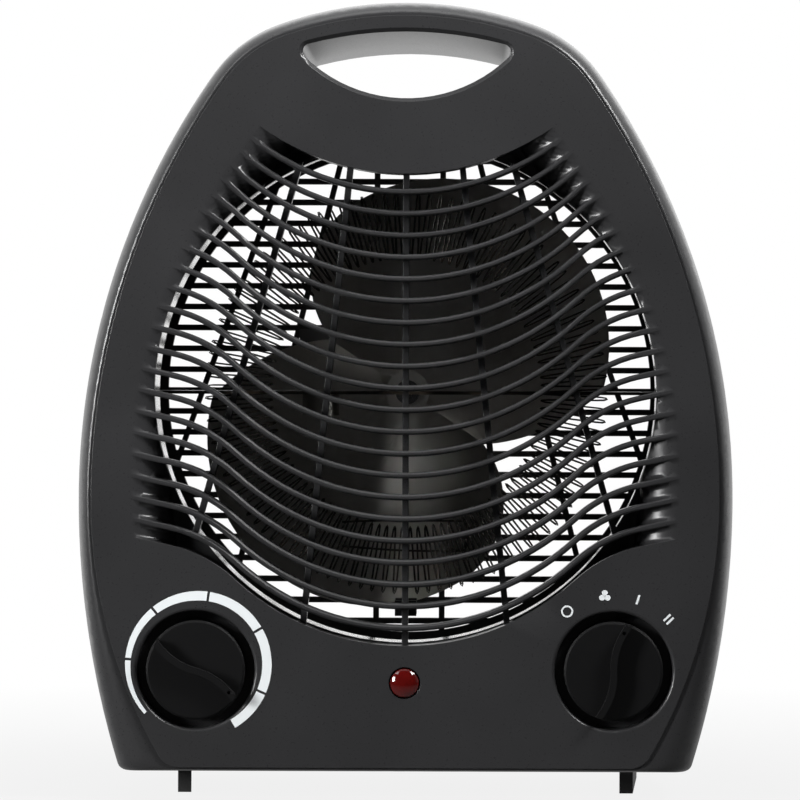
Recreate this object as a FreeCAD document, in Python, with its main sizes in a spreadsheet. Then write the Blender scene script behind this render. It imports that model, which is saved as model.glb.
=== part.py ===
"""Upright fan heater with a slatted front, two turning knobs and a two-blade fan.

Millimetres. +Z is up, the floor is z = 0, the front faces -Y and +X is the right side seen from the front.
The fan, the duct and both grilles share one axis along Y, at axis_height above the floor.
"""
import FreeCAD, Part
import math
import os
import re

import Sketcher

doc = FreeCAD.newDocument("FanHeater")
sheet = doc.addObject("Spreadsheet::Sheet", "Sizes")

SIZES = [
    # Casing outline, seen from the front
    ("half_width", 105.8), ("widest_height", 97), ("overall_height", 257.4), ("foot_height", 9),
    ("upper_side_radius", 239), ("lower_side_radius", 293), ("shoulder_radius", 44), ("top_radius", 124),
    ("corner_radius", 3), ("least_corner", 1.2),
    # Casing depth and walls
    ("shell_depth", 115), ("knob_stand", 5), ("front_depth", 60), ("wall", 2.5), ("rear_wall", 3),
    ("edge_roll", 16), ("panel_edge", 4.6), ("panel_step", 0.8), ("panel_lower_radius", 165),
    ("panel_corner_radius", 8), ("panel_bottom_edge", 1.5), ("rear_edge", 8), ("rear_roll", 15),
    # Carrying handle
    ("handle_top", 247.2), ("handle_bottom", 225.8), ("handle_top_radius", 125), ("handle_bottom_radius", 47),
    ("handle_corner", 2.5), ("handle_lip", 1.2),
    # Front dish, opening, slats and ribs
    ("axis_height", 131.1), ("opening_radius", 80.6), ("dish_depth", 11), ("dish_run", 13),
    ("dish_lip_angle", 4), ("dish_foot_angle", 84),
    ("dish_half_width", 88.4), ("dish_widest_height", 106), ("dish_side_radius", 170),
    ("dish_top", 201.5), ("dish_bottom", 50.1),
    ("slat_top", 195.7), ("slat_pitch", 7), ("slat_count", 21), ("slat_thick", 1.9), ("slat_depth", 9),
    ("slat_round", 0.6), ("slat_back_thick", 1.6),
    ("slat_sag_radius", 80.5), ("slat_sag_angle", 42.75), ("slat_rise_radius", 44), ("slat_end_angle", 12),
    ("rib_width", 2), ("rib_start", 6), ("rib_inner_top", 18.3), ("rib_inner_slope", 0.1006),
    ("rib_outer_top", 35.4), ("rib_outer_slope", 0.2785), ("grille_root", 1),
    # Rear grille
    ("inlet_radius", 83), ("inlet_bar", 2), ("inlet_pitch", 7.2), ("inlet_pad_radius", 26),
    ("inlet_rib_centre", 11.3), ("inlet_rib_middle", 26.6), ("inlet_middle_slope", 0.25),
    ("inlet_rib_outer", 46.8), ("inlet_outer_slope", 0.36), ("inlet_rib_height", 199),
    # Casing screws and their posts
    ("post_radius", 5), ("low_post_side", 84), ("low_post_height", 66), ("high_post_side", 68),
    ("high_post_height", 204), ("top_post_side", 47), ("top_post_height", 238),
    ("screw_radius", 1.5), ("screw_head_radius", 3.1), ("screw_head_height", 2.2), ("screw_grip", 22),
    ("screw_bite", 14), ("head_room", 0.4), ("tip_room", 0.8),
    # Clearances
    ("seat_clearance", 0.05), ("running_clearance", 0.05), ("slot_clearance", 0.15),
    # Feet
    ("foot_side", 72.3), ("foot_width", 4.4), ("foot_reach", 27), ("foot_rear_reach", 32),
    ("foot_splay", 3.4), ("peg_radius", 1.6), ("peg_length", 5), ("peg_inset", 14),
    # Sheet metal duct
    ("duct_radius", 82), ("duct_sheet", 0.8), ("duct_gap", 0.5), ("duct_length", 36),
    ("ear_circle", 87.5), ("ear_half_width", 5), ("ear_reach", 4.5), ("duct_boss_radius", 4),
    ("duct_bite", 5),
    # Heating element
    ("board_thick", 1), ("board_set", 4), ("board_depth", 24), ("ring_set", 9), ("ring_spacing", 13),
    ("fold_outer_radius", 65.5), ("fold_inner_radius", 44), ("fold_count", 50), ("wire_radius", 0.4),
    ("wire_hole_radius", 0.9), ("tail_length", 2), ("terminal_width", 3), ("terminal_depth", 5),
    ("terminal_height", 5), ("cutout_radius", 6), ("cutout_height", 7), ("cutout_side", 28),
    # Motor
    ("motor_boss_length", 5.5), ("motor_boss_radius", 4), ("bridge_sheet", 1.5), ("bridge_leg", 4),
    ("bridge_half_width", 6), ("bridge_leg_height", 6), ("core_depth", 16),
    ("core_left", 37), ("core_right", 21), ("core_half_height", 21), ("core_leg", 11),
    ("core_window", 11), ("core_window_half", 13),
    ("stator_bore", 13), ("air_gap", 0.4), ("rotor_ring_radius", 11.5), ("rotor_ring_depth", 2),
    ("bolt_height", 17.5), ("bolt_radius", 1.55), ("bolt_head_radius", 3), ("bolt_head_height", 2.2),
    ("bolt_bite", 6), ("bobbin_wall", 1), ("bobbin_gap", 0.3), ("winding_build", 7),
    ("bearing_radius", 4), ("bearing_length", 4.5), ("bearing_lip", 1), ("shaft_radius", 1.6),
    ("shaft_nose", 3), ("shaft_tail", 0.5),
    # Fan
    ("fan_tip_radius", 75), ("blade_corner", 66), ("fan_sheet", 1), ("fan_gap", 12.5), ("hub_radius", 7.25),
    ("hub_length", 12), ("blade_axis_angle", 55), ("blade_tilt", -13), ("blade_camber", 1.5),
    ("blade_root", 5),
    ("tip_start", 2), ("tip_end", 103), ("root_break", 30), ("root_start", -36), ("root_end", 146),
    ("trail_bow", 52), ("trail_bow_angle", -11), ("lead_bow", 55), ("lead_bow_angle", 124),
    ("clip_radius", 4), ("clip_thick", 1.2),
    # Knobs, their wells and what they turn
    ("knob_side", 67), ("knob_height", 42.2), ("well_radius", 18.9), ("well_depth", 9), ("well_floor", 2),
    ("well_lip", 1.2), ("knob_radius", 15.9), ("knob_gap", 1), ("knob_proud", 1), ("knob_wall", 2.2),
    ("knob_top", 3), ("knob_hub_radius", 5.5), ("knob_hub_drop", 2.4), ("knob_chamfer", 0.8),
    ("ridge_width", 2.1), ("ridge_sweep", 1.4), ("ridge_margin", 0.5), ("ridge_root", 0.5),
    ("dot_radius", 0.6), ("dot_depth", 0.6), ("dot_margin", 2.5),
    ("thermostat_pointer", -35.4), ("selector_pointer", 72),
    ("spindle_radius", 3), ("spindle_in_base", 7), ("spindle_in_knob", 4.5), ("bush_radius", 4.5),
    ("bush_flange_radius", 7.5), ("bush_flange", 2), ("bush_nose", 4), ("nut_radius", 6.6),
    ("nut_thick", 2.5), ("thermostat_width", 34), ("thermostat_depth", 12), ("thermostat_height", 26),
    ("strip_width", 6), ("strip_length", 24), ("strip_thick", 1), ("strip_post", 5), ("strip_gap", 1),
    ("selector_radius", 14), ("selector_depth", 16), ("tab_width", 6.3), ("tab_thick", 0.8),
    ("tab_length", 8), ("tab_spread", 6),
    # Pilot lamp, mains inlet and terminals
    ("lamp_height", 38.2), ("lamp_hole", 5.1), ("lens_radius", 4.6), ("lens_dome", 1), ("lens_proud", 1.6),
    ("lens_flange", 6.4), ("lens_flange_thick", 1.4), ("socket_radius", 5.6), ("socket_length", 18),
    ("inlet_side", 62), ("inlet_height", 31), ("bushing_radius", 6), ("bushing_bore", 3.6),
    ("bushing_flange", 8.5), ("bushing_flange_thick", 1.5),
    ("block_side", 20), ("block_width", 28), ("block_depth", 14), ("block_height", 13), ("block_set", 24),
    ("block_port", 2.2),
]

for row, (alias, number) in enumerate(SIZES, start=1):
    sheet.set("A%d" % row, alias)
    sheet.set("B%d" % row, str(number))
    sheet.setAlias("B%d" % row, alias)
doc.recompute()

ALIASES = {alias for alias, number in SIZES}
finished = []


def size(alias):
    return float(sheet.get(alias))


def tie(thing, path, text):
    """Bind one property to sheet cells; text is a formula in alias words."""
    bound = [("Sizes." + word) if word in ALIASES else word for word in re.split(r"([a-z_]+)", text)]
    thing.setExpression(path, "".join(bound))


def keep(thing, label):
    """Name a finished sub-part; its label becomes its file name."""
    thing.Label = label
    finished.append(thing)
    return thing


# Depth of each station, as formulas and as numbers
FACE = "((knob_stand - shell_depth) / 2)"
REAR = "((knob_stand + shell_depth) / 2)"
PARTING = "(%s + front_depth)" % FACE
DUCT_FRONT = "(%s + dish_depth + wall + duct_gap)" % FACE
BOARD_FRONT = "(%s + board_set)" % DUCT_FRONT
RING_FRONT = "(%s + ring_set)" % DUCT_FRONT
RING_REAR = "(%s + ring_spacing)" % RING_FRONT
MOTOR_SEAT = "(%s - rear_wall - motor_boss_length)" % REAR
CORE_REAR = "(%s - bridge_sheet - bridge_leg)" % MOTOR_SEAT
CORE_FRONT = "(%s - core_depth)" % CORE_REAR
BRIDGE_FRONT = "(%s - bridge_leg - bridge_sheet)" % CORE_FRONT
HUB_FRONT = "(%s - fan_gap - hub_length)" % BRIDGE_FRONT
WELL_FLOOR = "(%s + well_depth)" % FACE
WELL_BACK = "(%s + well_floor)" % WELL_FLOOR
BASE_FRONT = "(%s + bush_flange)" % WELL_BACK
KNOB_FRONT = "(%s - knob_proud)" % FACE
PANEL_BACK = "(%s + panel_step + wall)" % FACE
INLET_INSIDE = "(%s - rear_wall)" % REAR

face_y = (size("knob_stand") - size("shell_depth")) / 2
rear_y = face_y + size("shell_depth")
parting_y = face_y + size("front_depth")
floor_y = face_y + size("dish_depth")
duct_front_y = floor_y + size("wall") + size("duct_gap")
motor_seat_y = rear_y - size("rear_wall") - size("motor_boss_length")
core_front_y = motor_seat_y - size("bridge_sheet") - size("bridge_leg") - size("core_depth")
hub_front_y = core_front_y - size("bridge_leg") - size("bridge_sheet") - size("fan_gap") - size("hub_length")
axis_z = size("axis_height")

ALONG_Y = FreeCAD.Rotation(FreeCAD.Vector(1, 0, 0), -90)
Y_AXIS = FreeCAD.Vector(0, 1, 0)


def spot(x, z, y=0.0):
    return FreeCAD.Vector(x, y, z)


def place(thing, x, y, z, turn=None):
    """Put a primitive at a place given by three formulas."""
    thing.Placement = FreeCAD.Placement(FreeCAD.Vector(), turn or FreeCAD.Rotation())
    for letter, text in (("x", x), ("y", y), ("z", z)):
        tie(thing, "Placement.Base." + letter, text)
    return thing


def rod(name, radius, start, length, x="0", z="axis_height"):
    """A round bar along Y that starts at one depth and runs towards the rear."""
    bar = doc.addObject("Part::Cylinder", name)
    tie(bar, "Radius", radius)
    tie(bar, "Height", length)
    return place(bar, x, start, z, ALONG_Y)


def block(name, x, y, z, width, depth, height):
    """A box from its lowest corner."""
    box = doc.addObject("Part::Box", name)
    tie(box, "Length", width)
    tie(box, "Width", depth)
    tie(box, "Height", height)
    return place(box, x, y, z)


def join(name, pieces):
    union = doc.addObject("Part::MultiFuse", name)
    union.Shapes = pieces
    return union


def cut(name, base, tools):
    """Take one or more tools out of a base."""
    result = doc.addObject("Part::Cut", name)
    result.Base = base
    result.Tool = tools[0] if len(tools) == 1 else join(name + "_tools", tools)
    return result


def group(label, pieces):
    """Identical loose pieces that share one file."""
    bundle = doc.addObject("Part::Compound", label)
    bundle.Links = pieces
    return keep(bundle, label)


def screw(name, x, z, seat, radius, reach, head_radius, head_height, backward=False):
    """A round-headed screw along Y: its head sits on one depth and the shank runs to the front."""
    if backward:
        shank = rod(name + "_shank", radius, seat, reach, x, z)
        head = rod(name + "_head", head_radius, "%s - %s" % (seat, head_height), head_height, x, z)
    else:
        shank = rod(name + "_shank", radius, "%s - (%s)" % (seat, reach), reach, x, z)
        head = rod(name + "_head", head_radius, seat, head_height, x, z)
    return join(name, [shank, head])


def body(label, plane):
    """A new body with one sketch on one of its own origin planes."""
    thing = doc.addObject("PartDesign::Body", label)
    return thing, sketch_on(thing, label + "_sketch", plane)


def sketch_on(thing, name, plane):
    sketch = thing.newObject("Sketcher::SketchObject", name)
    base = [feature for feature in thing.Origin.OriginFeatures if feature.Role == plane][0]
    sketch.AttachmentSupport = [(base, "")]
    sketch.MapMode = "FlatFace"
    return sketch


# The size at which sketch lines and circles are drawn before their formulas set them
FIRST_SIZE = 10.0


def pin_point(sketch, edge, end, across, up):
    """Fix one sketch point by two formulas, measured from the sketch's origin."""
    for kind, text in (("DistanceX", across), ("DistanceY", up)):
        index = sketch.addConstraint(Sketcher.Constraint(kind, -1, 1, edge, end, FIRST_SIZE))
        tie(sketch, "Constraints[%d]" % index, text)


def draw_polygon(sketch, points):
    """A closed run of straight lines through points given by formulas."""
    count = len(points)
    turns = [2 * math.pi * i / count for i in range(count)]
    spread = [FreeCAD.Vector(math.cos(turn), math.sin(turn), 0) * FIRST_SIZE for turn in turns]
    first = sketch.GeometryCount
    for i in range(count):
        sketch.addGeometry(Part.LineSegment(spread[i], spread[(i + 1) % count]), False)
    for i in range(count):
        follower = first + (i + 1) % count
        sketch.addConstraint(Sketcher.Constraint("Coincident", first + i, 2, follower, 1))
    for i, (across, up) in enumerate(points):
        pin_point(sketch, first + i, 1, across, up)


def draw_box(sketch, left, low, right, high):
    draw_polygon(sketch, [(left, low), (right, low), (right, high), (left, high)])


def draw_circle(sketch, across, up, radius):
    index = sketch.addGeometry(Part.Circle(FreeCAD.Vector(), FreeCAD.Vector(0, 0, 1), FIRST_SIZE), False)
    pin_point(sketch, index, 3, across, up)
    ring = sketch.addConstraint(Sketcher.Constraint("Radius", index, FIRST_SIZE))
    tie(sketch, "Constraints[%d]" % ring, radius)


def pad(thing, sketch, name, start, length):
    """Raise an XZ sketch towards the rear, from one depth."""
    tie(sketch, "AttachmentOffset.Base.z", "-1 * (%s)" % start)
    feature = thing.newObject("PartDesign::Pad", name)
    feature.Profile = sketch
    feature.Reversed = True
    tie(feature, "Length", length)
    return feature


def turned(label, profile, x, z):
    """A piece turned about an axis along Y; the profile is (radius, depth) formulas."""
    thing, sketch = body(label, "XY_Plane")
    draw_polygon(sketch, profile)
    feature = thing.newObject("PartDesign::Revolution", label + "_turned")
    feature.Profile = sketch
    feature.ReferenceAxis = (sketch, ["V_Axis"])
    feature.Angle = 360
    return place(thing, x, "0", z)


# Outline geometry shared by both casing halves: how far a cutting tool runs past the face that it opens,
# and the number of steps in a rolled edge and in the sides of the dish
OVERRUN = 1.0
ROLL_STEPS = 5
DISH_STEPS = 9


def meet(first, first_radius, second, second_radius):
    """The crossing of two circles in the XZ plane that lies further up and to the right."""
    apart = second - first
    gap = apart.Length
    along = (first_radius ** 2 - second_radius ** 2 + gap ** 2) / (2 * gap)
    off = math.sqrt(first_radius ** 2 - along ** 2)
    unit = apart / gap
    side = spot(unit.z, -unit.x)
    foot = first + unit * along
    return max((foot + side * off, foot - side * off), key=lambda point: point.x + point.z)


def mirrored(point):
    return FreeCAD.Vector(-point.x, point.y, point.z)


def arc(start, centre, radius, end):
    """The shorter arc about a centre between two points."""
    middle = (start + end) / 2 - centre
    return Part.Arc(start, centre + middle * (radius / middle.Length), end).toShape()


def line(start, end):
    return Part.LineSegment(start, end).toShape()


def outline(y, blend, inset):
    """The casing outline at one depth: blend goes from the silhouette (0) to the front panel's edge (1)."""
    drawn_in = size("panel_edge") * blend + inset
    half = size("half_width") - drawn_in
    middle = size("widest_height")
    lower = size("lower_side_radius") * (1 - blend) + size("panel_lower_radius") * blend - inset
    upper = size("upper_side_radius") - drawn_in
    shoulder = size("shoulder_radius") - drawn_in
    crown = size("top_radius") - drawn_in
    corner = size("corner_radius") * (1 - blend) + size("panel_corner_radius") * blend - inset
    corner = max(corner, size("least_corner"))
    bottom = size("foot_height") + size("panel_bottom_edge") * blend + inset
    crown_centre = spot(0, size("overall_height") - size("top_radius"))
    upper_centre = spot(half - upper, middle)
    lower_centre = spot(half - lower, middle)
    shoulder_centre = meet(crown_centre, crown - shoulder, upper_centre, upper - shoulder)
    crown_end = crown_centre + (shoulder_centre - crown_centre).normalize() * crown
    upper_end = upper_centre + (shoulder_centre - upper_centre).normalize() * upper
    corner_rise = bottom + corner - middle
    corner_reach = math.sqrt((lower - corner) ** 2 - corner_rise ** 2)
    corner_centre = spot(lower_centre.x + corner_reach, bottom + corner)
    lower_end = lower_centre + (corner_centre - lower_centre).normalize() * lower
    bottom_end = spot(corner_centre.x, bottom)
    widest = spot(half, middle)
    right = [arc(bottom_end, corner_centre, corner, lower_end), arc(lower_end, lower_centre, lower, widest),
             arc(widest, upper_centre, upper, upper_end),
             arc(upper_end, shoulder_centre, shoulder, crown_end)]
    top = arc(crown_end, crown_centre, crown, mirrored(crown_end))
    left = [arc(mirrored(crown_end), mirrored(shoulder_centre), shoulder, mirrored(upper_end)),
            arc(mirrored(upper_end), mirrored(upper_centre), upper, mirrored(widest)),
            arc(mirrored(widest), mirrored(lower_centre), lower, mirrored(lower_end)),
            arc(mirrored(lower_end), mirrored(corner_centre), corner, mirrored(bottom_end))]
    base = line(mirrored(bottom_end), bottom_end)
    wire = Part.Wire([base] + right + [top] + left)
    wire.translate(Y_AXIS * y)
    return wire


def prism(wire, depth):
    """A solid from a flat wire, raised along Y."""
    return Part.Face(wire).extrude(Y_AXIS * depth)


def rolled_hull(start_y, roll_y, end_y, inset, blend_end, inset_end):
    """A straight casing wall that rolls over towards its front or rear face on a quarter ellipse."""
    straight = prism(outline(start_y, 0, inset), roll_y - start_y)
    sections = []
    for i in range(ROLL_STEPS + 1):
        turn = math.radians(90 * i / ROLL_STEPS)
        y = roll_y + (end_y - roll_y) * math.sin(turn)
        part = 1 - math.cos(turn)
        sections.append(outline(y, blend_end * part, inset + inset_end * part))
    return straight.fuse(Part.makeLoft(sections, True, False))


def round_bar(x, z, radius, start_y, end_y):
    return Part.makeCylinder(radius, end_y - start_y, spot(x, z, start_y), Y_AXIS)


def handle_wire(y, grow):
    """The lens-shaped outline of the hand hole at one depth, grown all round."""
    top_radius = size("handle_top_radius")
    low_radius = size("handle_bottom_radius")
    corner = size("handle_corner")
    top_centre = spot(0, size("handle_top") - top_radius)
    low_centre = spot(0, size("handle_bottom") + low_radius)
    end_centre = meet(top_centre, top_radius - corner, low_centre, low_radius - corner)
    top_end = top_centre + (end_centre - top_centre).normalize() * (top_radius + grow)
    low_end = low_centre + (end_centre - low_centre).normalize() * (low_radius + grow)
    nose = end_centre + spot(corner + grow, 0)
    edges = [arc(mirrored(top_end), top_centre, top_radius + grow, top_end),
             Part.Arc(top_end, nose, low_end).toShape(),
             arc(low_end, low_centre, low_radius + grow, mirrored(low_end)),
             Part.Arc(mirrored(low_end), mirrored(nose), mirrored(top_end)).toShape()]
    wire = Part.Wire(edges)
    wire.translate(Y_AXIS * y)
    return wire


def handle_hole(grow, start_y, end_y):
    return prism(handle_wire(start_y, grow), end_y - start_y)


def handle_mouth(edge_y, inward):
    """The eased edge of the hand hole where it meets the front or the rear face."""
    lip = size("handle_lip")
    return Part.makeLoft([handle_wire(edge_y - inward * OVERRUN, lip + OVERRUN),
                          handle_wire(edge_y + inward * lip, 0)], True, True)


POSTS = [("low_post_side", "low_post_height"), ("high_post_side", "high_post_height"),
         ("top_post_side", "top_post_height")]


def post_spots():
    return [(side * size(across), size(up)) for across, up in POSTS for side in (-1, 1)]


def ear_spots():
    """The four duct fixings, on the diagonals of the opening."""
    reach = size("ear_circle") * math.cos(math.radians(45))
    return [(across * reach, axis_z + up * reach) for across in (-1, 1) for up in (-1, 1)]


def peg_holes(end):
    """The holes for one peg of each foot: end 0 is in the front casing, end 1 in the rear one."""
    length = size("foot_reach") + size("foot_rear_reach")
    along = (size("peg_inset"), length - size("peg_inset"))[end]
    across = size("foot_side") + size("foot_splay") * along / length
    return [Part.makeCylinder(size("peg_radius") + size("seat_clearance"), 2 * size("wall"),
                              spot(side * across, size("foot_height") - size("wall") / 2,
                                   parting_y - size("foot_reach") + along)) for side in (-1, 1)]


# Front casing: panel, dish, slats, ribs, knob wells and posts in one moulding

def slat_curve(height, lift, reach):
    """One slat line from left to right: it sags, turns over and runs out straight; lift offsets it."""
    sag = size("slat_sag_radius")
    rise = size("slat_rise_radius")
    steep = math.radians(size("slat_sag_angle"))
    flat = math.radians(size("slat_end_angle"))
    sag_centre = spot(0, height + sag)
    rise_centre = sag_centre + spot(math.sin(steep), -math.cos(steep)) * (sag + rise)
    low = spot(0, height + lift)
    turn = sag_centre + spot(math.sin(steep), -math.cos(steep)) * (sag - lift)
    half_way = (steep + flat) / 2
    over = rise_centre + spot(-math.sin(half_way), math.cos(half_way)) * (rise + lift)
    straight = rise_centre + spot(-math.sin(flat), math.cos(flat)) * (rise + lift)
    end = straight + spot(1, math.tan(flat)) * (reach - straight.x)
    return [line(mirrored(end), mirrored(straight)),
            Part.Arc(mirrored(straight), mirrored(over), mirrored(turn)).toShape(),
            Part.Arc(mirrored(turn), low, turn).toShape(),
            Part.Arc(turn, over, straight).toShape(),
            line(straight, end)]


def slat_wire(y, low_height, low_lift, high_height, high_lift):
    """The outline between two slat lines at one depth."""
    reach = size("dish_half_width") + size("dish_run")
    low = slat_curve(low_height, low_lift, reach)
    high = slat_curve(high_height, high_lift, reach)
    right = line(low[-1].Vertexes[-1].Point, high[-1].Vertexes[-1].Point)
    left = line(high[0].Vertexes[0].Point, low[0].Vertexes[0].Point)
    wire = Part.Wire(Part.__sortEdges__(low + [right] + high + [left]))
    wire.translate(Y_AXIS * y)
    return wire


def slat_band(low_height, low_lift, high_height, high_lift, start_y, end_y):
    """The space between two slat lines, raised along Y."""
    return prism(slat_wire(start_y, low_height, low_lift, high_height, high_lift), end_y - start_y)


def slat(height):
    """One slat: eased along its front edges and drawn in a little towards its back."""
    half = size("slat_thick") / 2
    ease = size("slat_round")
    steps = [(face_y, half - ease), (face_y + ease, half),
             (face_y + size("slat_depth"), size("slat_back_thick") / 2)]
    return Part.makeLoft([slat_wire(y, height, -out, height, out) for y, out in steps], True, True)


def dish_lens(y, inset):
    """The dish's side limits at one depth: two long arcs, closed above and below."""
    radius = size("dish_side_radius") - inset
    half = size("dish_half_width") - inset
    middle = size("dish_widest_height")
    centre = spot(half - radius, middle)
    top = size("overall_height") - size("dish_bottom") / 2
    bottom = size("dish_bottom") / 2
    high = spot(centre.x + math.sqrt(radius ** 2 - (top - middle) ** 2), top)
    low = spot(centre.x + math.sqrt(radius ** 2 - (bottom - middle) ** 2), bottom)
    right = Part.Arc(low, spot(half, middle), high).toShape()
    left = Part.Arc(mirrored(high), spot(-half, middle), mirrored(low)).toShape()
    wire = Part.Wire([right, line(high, mirrored(high)), left, line(mirrored(low), low)])
    wire.translate(Y_AXIS * y)
    return wire


def dish(grow):
    """The recess round the outlet: its sides roll from the face to the floor; grow leaves room for a wall."""
    lip = math.radians(size("dish_lip_angle"))
    foot = math.radians(size("dish_foot_angle"))
    run = size("dish_run") / (math.sin(foot) - math.sin(lip))
    drop = size("dish_depth") / (math.cos(lip) - math.cos(foot))
    start_y = face_y - OVERRUN
    lens = [dish_lens(start_y, -OVERRUN * run / (drop * math.tan(lip)) - grow)]
    for i in range(DISH_STEPS + 1):
        turn = lip + (foot - lip) * i / DISH_STEPS
        lens.append(dish_lens(face_y + grow + drop * (math.cos(lip) - math.cos(turn)),
                              run * (math.sin(turn) - math.sin(lip)) - grow))
    sides = Part.makeLoft(lens, True, True)
    band = slat_band(size("dish_bottom"), -grow, size("dish_top"), grow, start_y, floor_y + grow)
    return sides.common(band)


def knob_well(side, grow):
    """One round well for a knob, with a rounded lip where it meets the panel."""
    radius = size("well_radius") + grow
    lip = size("well_lip")
    bottom = face_y + size("well_depth") + (size("well_floor") if grow else 0)
    if grow:
        return round_bar(side * size("knob_side"), size("knob_height"), radius, face_y + OVERRUN, bottom)
    mouth = radius + lip
    slant = lip * (1 - math.cos(math.radians(45)))
    points = [FreeCAD.Vector(0, face_y - OVERRUN, 0), FreeCAD.Vector(mouth, face_y - OVERRUN, 0),
              FreeCAD.Vector(mouth, face_y, 0), FreeCAD.Vector(radius + slant, face_y + slant, 0),
              FreeCAD.Vector(radius, face_y + lip, 0), FreeCAD.Vector(radius, bottom, 0),
              FreeCAD.Vector(0, bottom, 0)]
    edges = [line(points[0], points[1]), line(points[1], points[2]),
             Part.Arc(points[2], points[3], points[4]).toShape(), line(points[4], points[5]),
             line(points[5], points[6]), line(points[6], points[0])]
    tool = Part.Face(Part.Wire(edges)).revolve(FreeCAD.Vector(), Y_AXIS, 360)
    tool.translate(spot(side * size("knob_side"), size("knob_height")))
    return tool


def grille_rib(top_x, slope, start_y, end_y):
    """One upright rib behind the slats; it leans outwards on its way down."""
    high = size("dish_top") + size("slat_pitch") * 4
    low = size("dish_bottom") - size("slat_pitch") * 2
    half = size("rib_width") / 2
    start = top_x - slope * (high - size("dish_top"))
    end = top_x + slope * (size("dish_top") - low)
    corners = [spot(start - half, high), spot(start + half, high),
               spot(end + half, low), spot(end - half, low)]
    wire = Part.makePolygon(corners + corners[:1])
    wire.translate(Y_AXIS * start_y)
    return prism(wire, end_y - start_y)


def front_grille():
    """The slats and the ribs behind them, each with a short root in the moulding round it."""
    root = size("grille_root")
    room = dish(root)
    heights = [size("slat_top") - i * size("slat_pitch") for i in range(int(size("slat_count")))]
    pieces = [slat(height).common(room) for height in heights]
    rib_front = face_y + size("rib_start")
    rib_back = floor_y + size("wall") - root / 2
    limits = round_bar(0, axis_z, size("opening_radius") + root, rib_front, rib_back)
    limits = limits.common(slat_band(size("dish_bottom"), -root, size("dish_top"), root, rib_front, rib_back))
    leans = [(0, 0)]
    for side in (-1, 1):
        leans.append((side * size("rib_inner_top"), side * size("rib_inner_slope")))
        leans.append((side * size("rib_outer_top"), side * size("rib_outer_slope")))
    for top_x, slope in leans:
        pieces.append(grille_rib(top_x, slope, rib_front, rib_back).common(limits))
    return pieces


def front_shell():
    wall = size("wall")
    roll_y = face_y + size("edge_roll")
    edge_y = face_y + size("panel_step")
    outer = rolled_hull(parting_y, roll_y, edge_y, 0, 1, 0)
    panel = prism(outline(face_y, 1, size("panel_step") / 2), wall)
    outer = outer.fuse(panel)
    hollow = rolled_hull(parting_y, roll_y, edge_y + wall, wall, 1, 0)
    kept = [handle_hole(wall, face_y, parting_y), dish(wall), knob_well(-1, wall), knob_well(1, wall)]
    kept += [round_bar(x, z, size("post_radius"), face_y, parting_y) for x, z in post_spots()]
    kept += [round_bar(x, z, size("duct_boss_radius"), face_y, duct_front_y) for x, z in ear_spots()]
    hollow = hollow.cut(kept)
    past = face_y - OVERRUN
    through = floor_y + wall + OVERRUN
    opening = round_bar(0, axis_z, size("opening_radius"), past, through)
    opening = opening.common(slat_band(size("dish_bottom"), 0, size("dish_top"), 0, past, through))
    pilot = size("screw_radius") + size("seat_clearance")
    post_pilot_y = parting_y - size("screw_bite") - size("tip_room")
    ear_pilot_y = duct_front_y - size("duct_bite") - size("tip_room")
    tools = [hollow, handle_hole(0, past, parting_y + OVERRUN), handle_mouth(face_y, 1), dish(0), opening,
             knob_well(-1, 0), knob_well(1, 0),
             round_bar(0, size("lamp_height"), size("lamp_hole"), past, face_y + 2 * wall)]
    for side in (-1, 1):
        tools.append(round_bar(side * size("knob_side"), size("knob_height"),
                               size("bush_radius") + size("seat_clearance"), past,
                               face_y + size("well_depth") + size("well_floor") + OVERRUN))
    tools += peg_holes(0)
    tools += [round_bar(x, z, pilot, post_pilot_y, parting_y + OVERRUN) for x, z in post_spots()]
    tools += [round_bar(x, z, pilot, ear_pilot_y, duct_front_y + OVERRUN) for x, z in ear_spots()]
    shell = outer.cut(tools)
    return shell.fuse(front_grille()).removeSplitter()


def only_solid(shape, name):
    """The one solid that a moulding has to be."""
    if len(shape.Solids) != 1:
        print(name, "has", len(shape.Solids), "solids", [round(solid.Volume, 2) for solid in shape.Solids])
    return max(shape.Solids, key=lambda solid: solid.Volume)


front = doc.addObject("Part::Feature", "FrontShell")
front.Shape = only_solid(front_shell(), "front_shell")
keep(front, "front_shell")


# Rear casing: inlet grille, motor pad and bosses, screw posts

def inlet_bars(start_y, end_y):
    """Level bars on one pitch and upright ribs that lean outwards on their way down."""
    reach = size("inlet_radius") + size("inlet_bar")
    half = size("inlet_bar") / 2
    depth = end_y - start_y
    bars = []
    count = int(reach / size("inlet_pitch"))
    for i in range(-count, count + 1):
        corner = spot(-reach, axis_z + i * size("inlet_pitch") - half, start_y)
        bars.append(Part.makeBox(2 * reach, depth, 2 * half, corner))
    leans = [(size("inlet_rib_centre"), 0), (size("inlet_rib_middle"), size("inlet_middle_slope")),
             (size("inlet_rib_outer"), size("inlet_outer_slope"))]
    for side in (-1, 1):
        for at_x, slope in leans:
            high = axis_z + reach
            low = axis_z - reach
            start = at_x - slope * (high - size("inlet_rib_height"))
            end = at_x + slope * (size("inlet_rib_height") - low)
            corners = [spot(side * start - half, high), spot(side * start + half, high),
                       spot(side * end + half, low), spot(side * end - half, low)]
            wire = Part.makePolygon(corners + corners[:1])
            wire.translate(Y_AXIS * start_y)
            bars.append(prism(wire, depth))
    return bars


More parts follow.
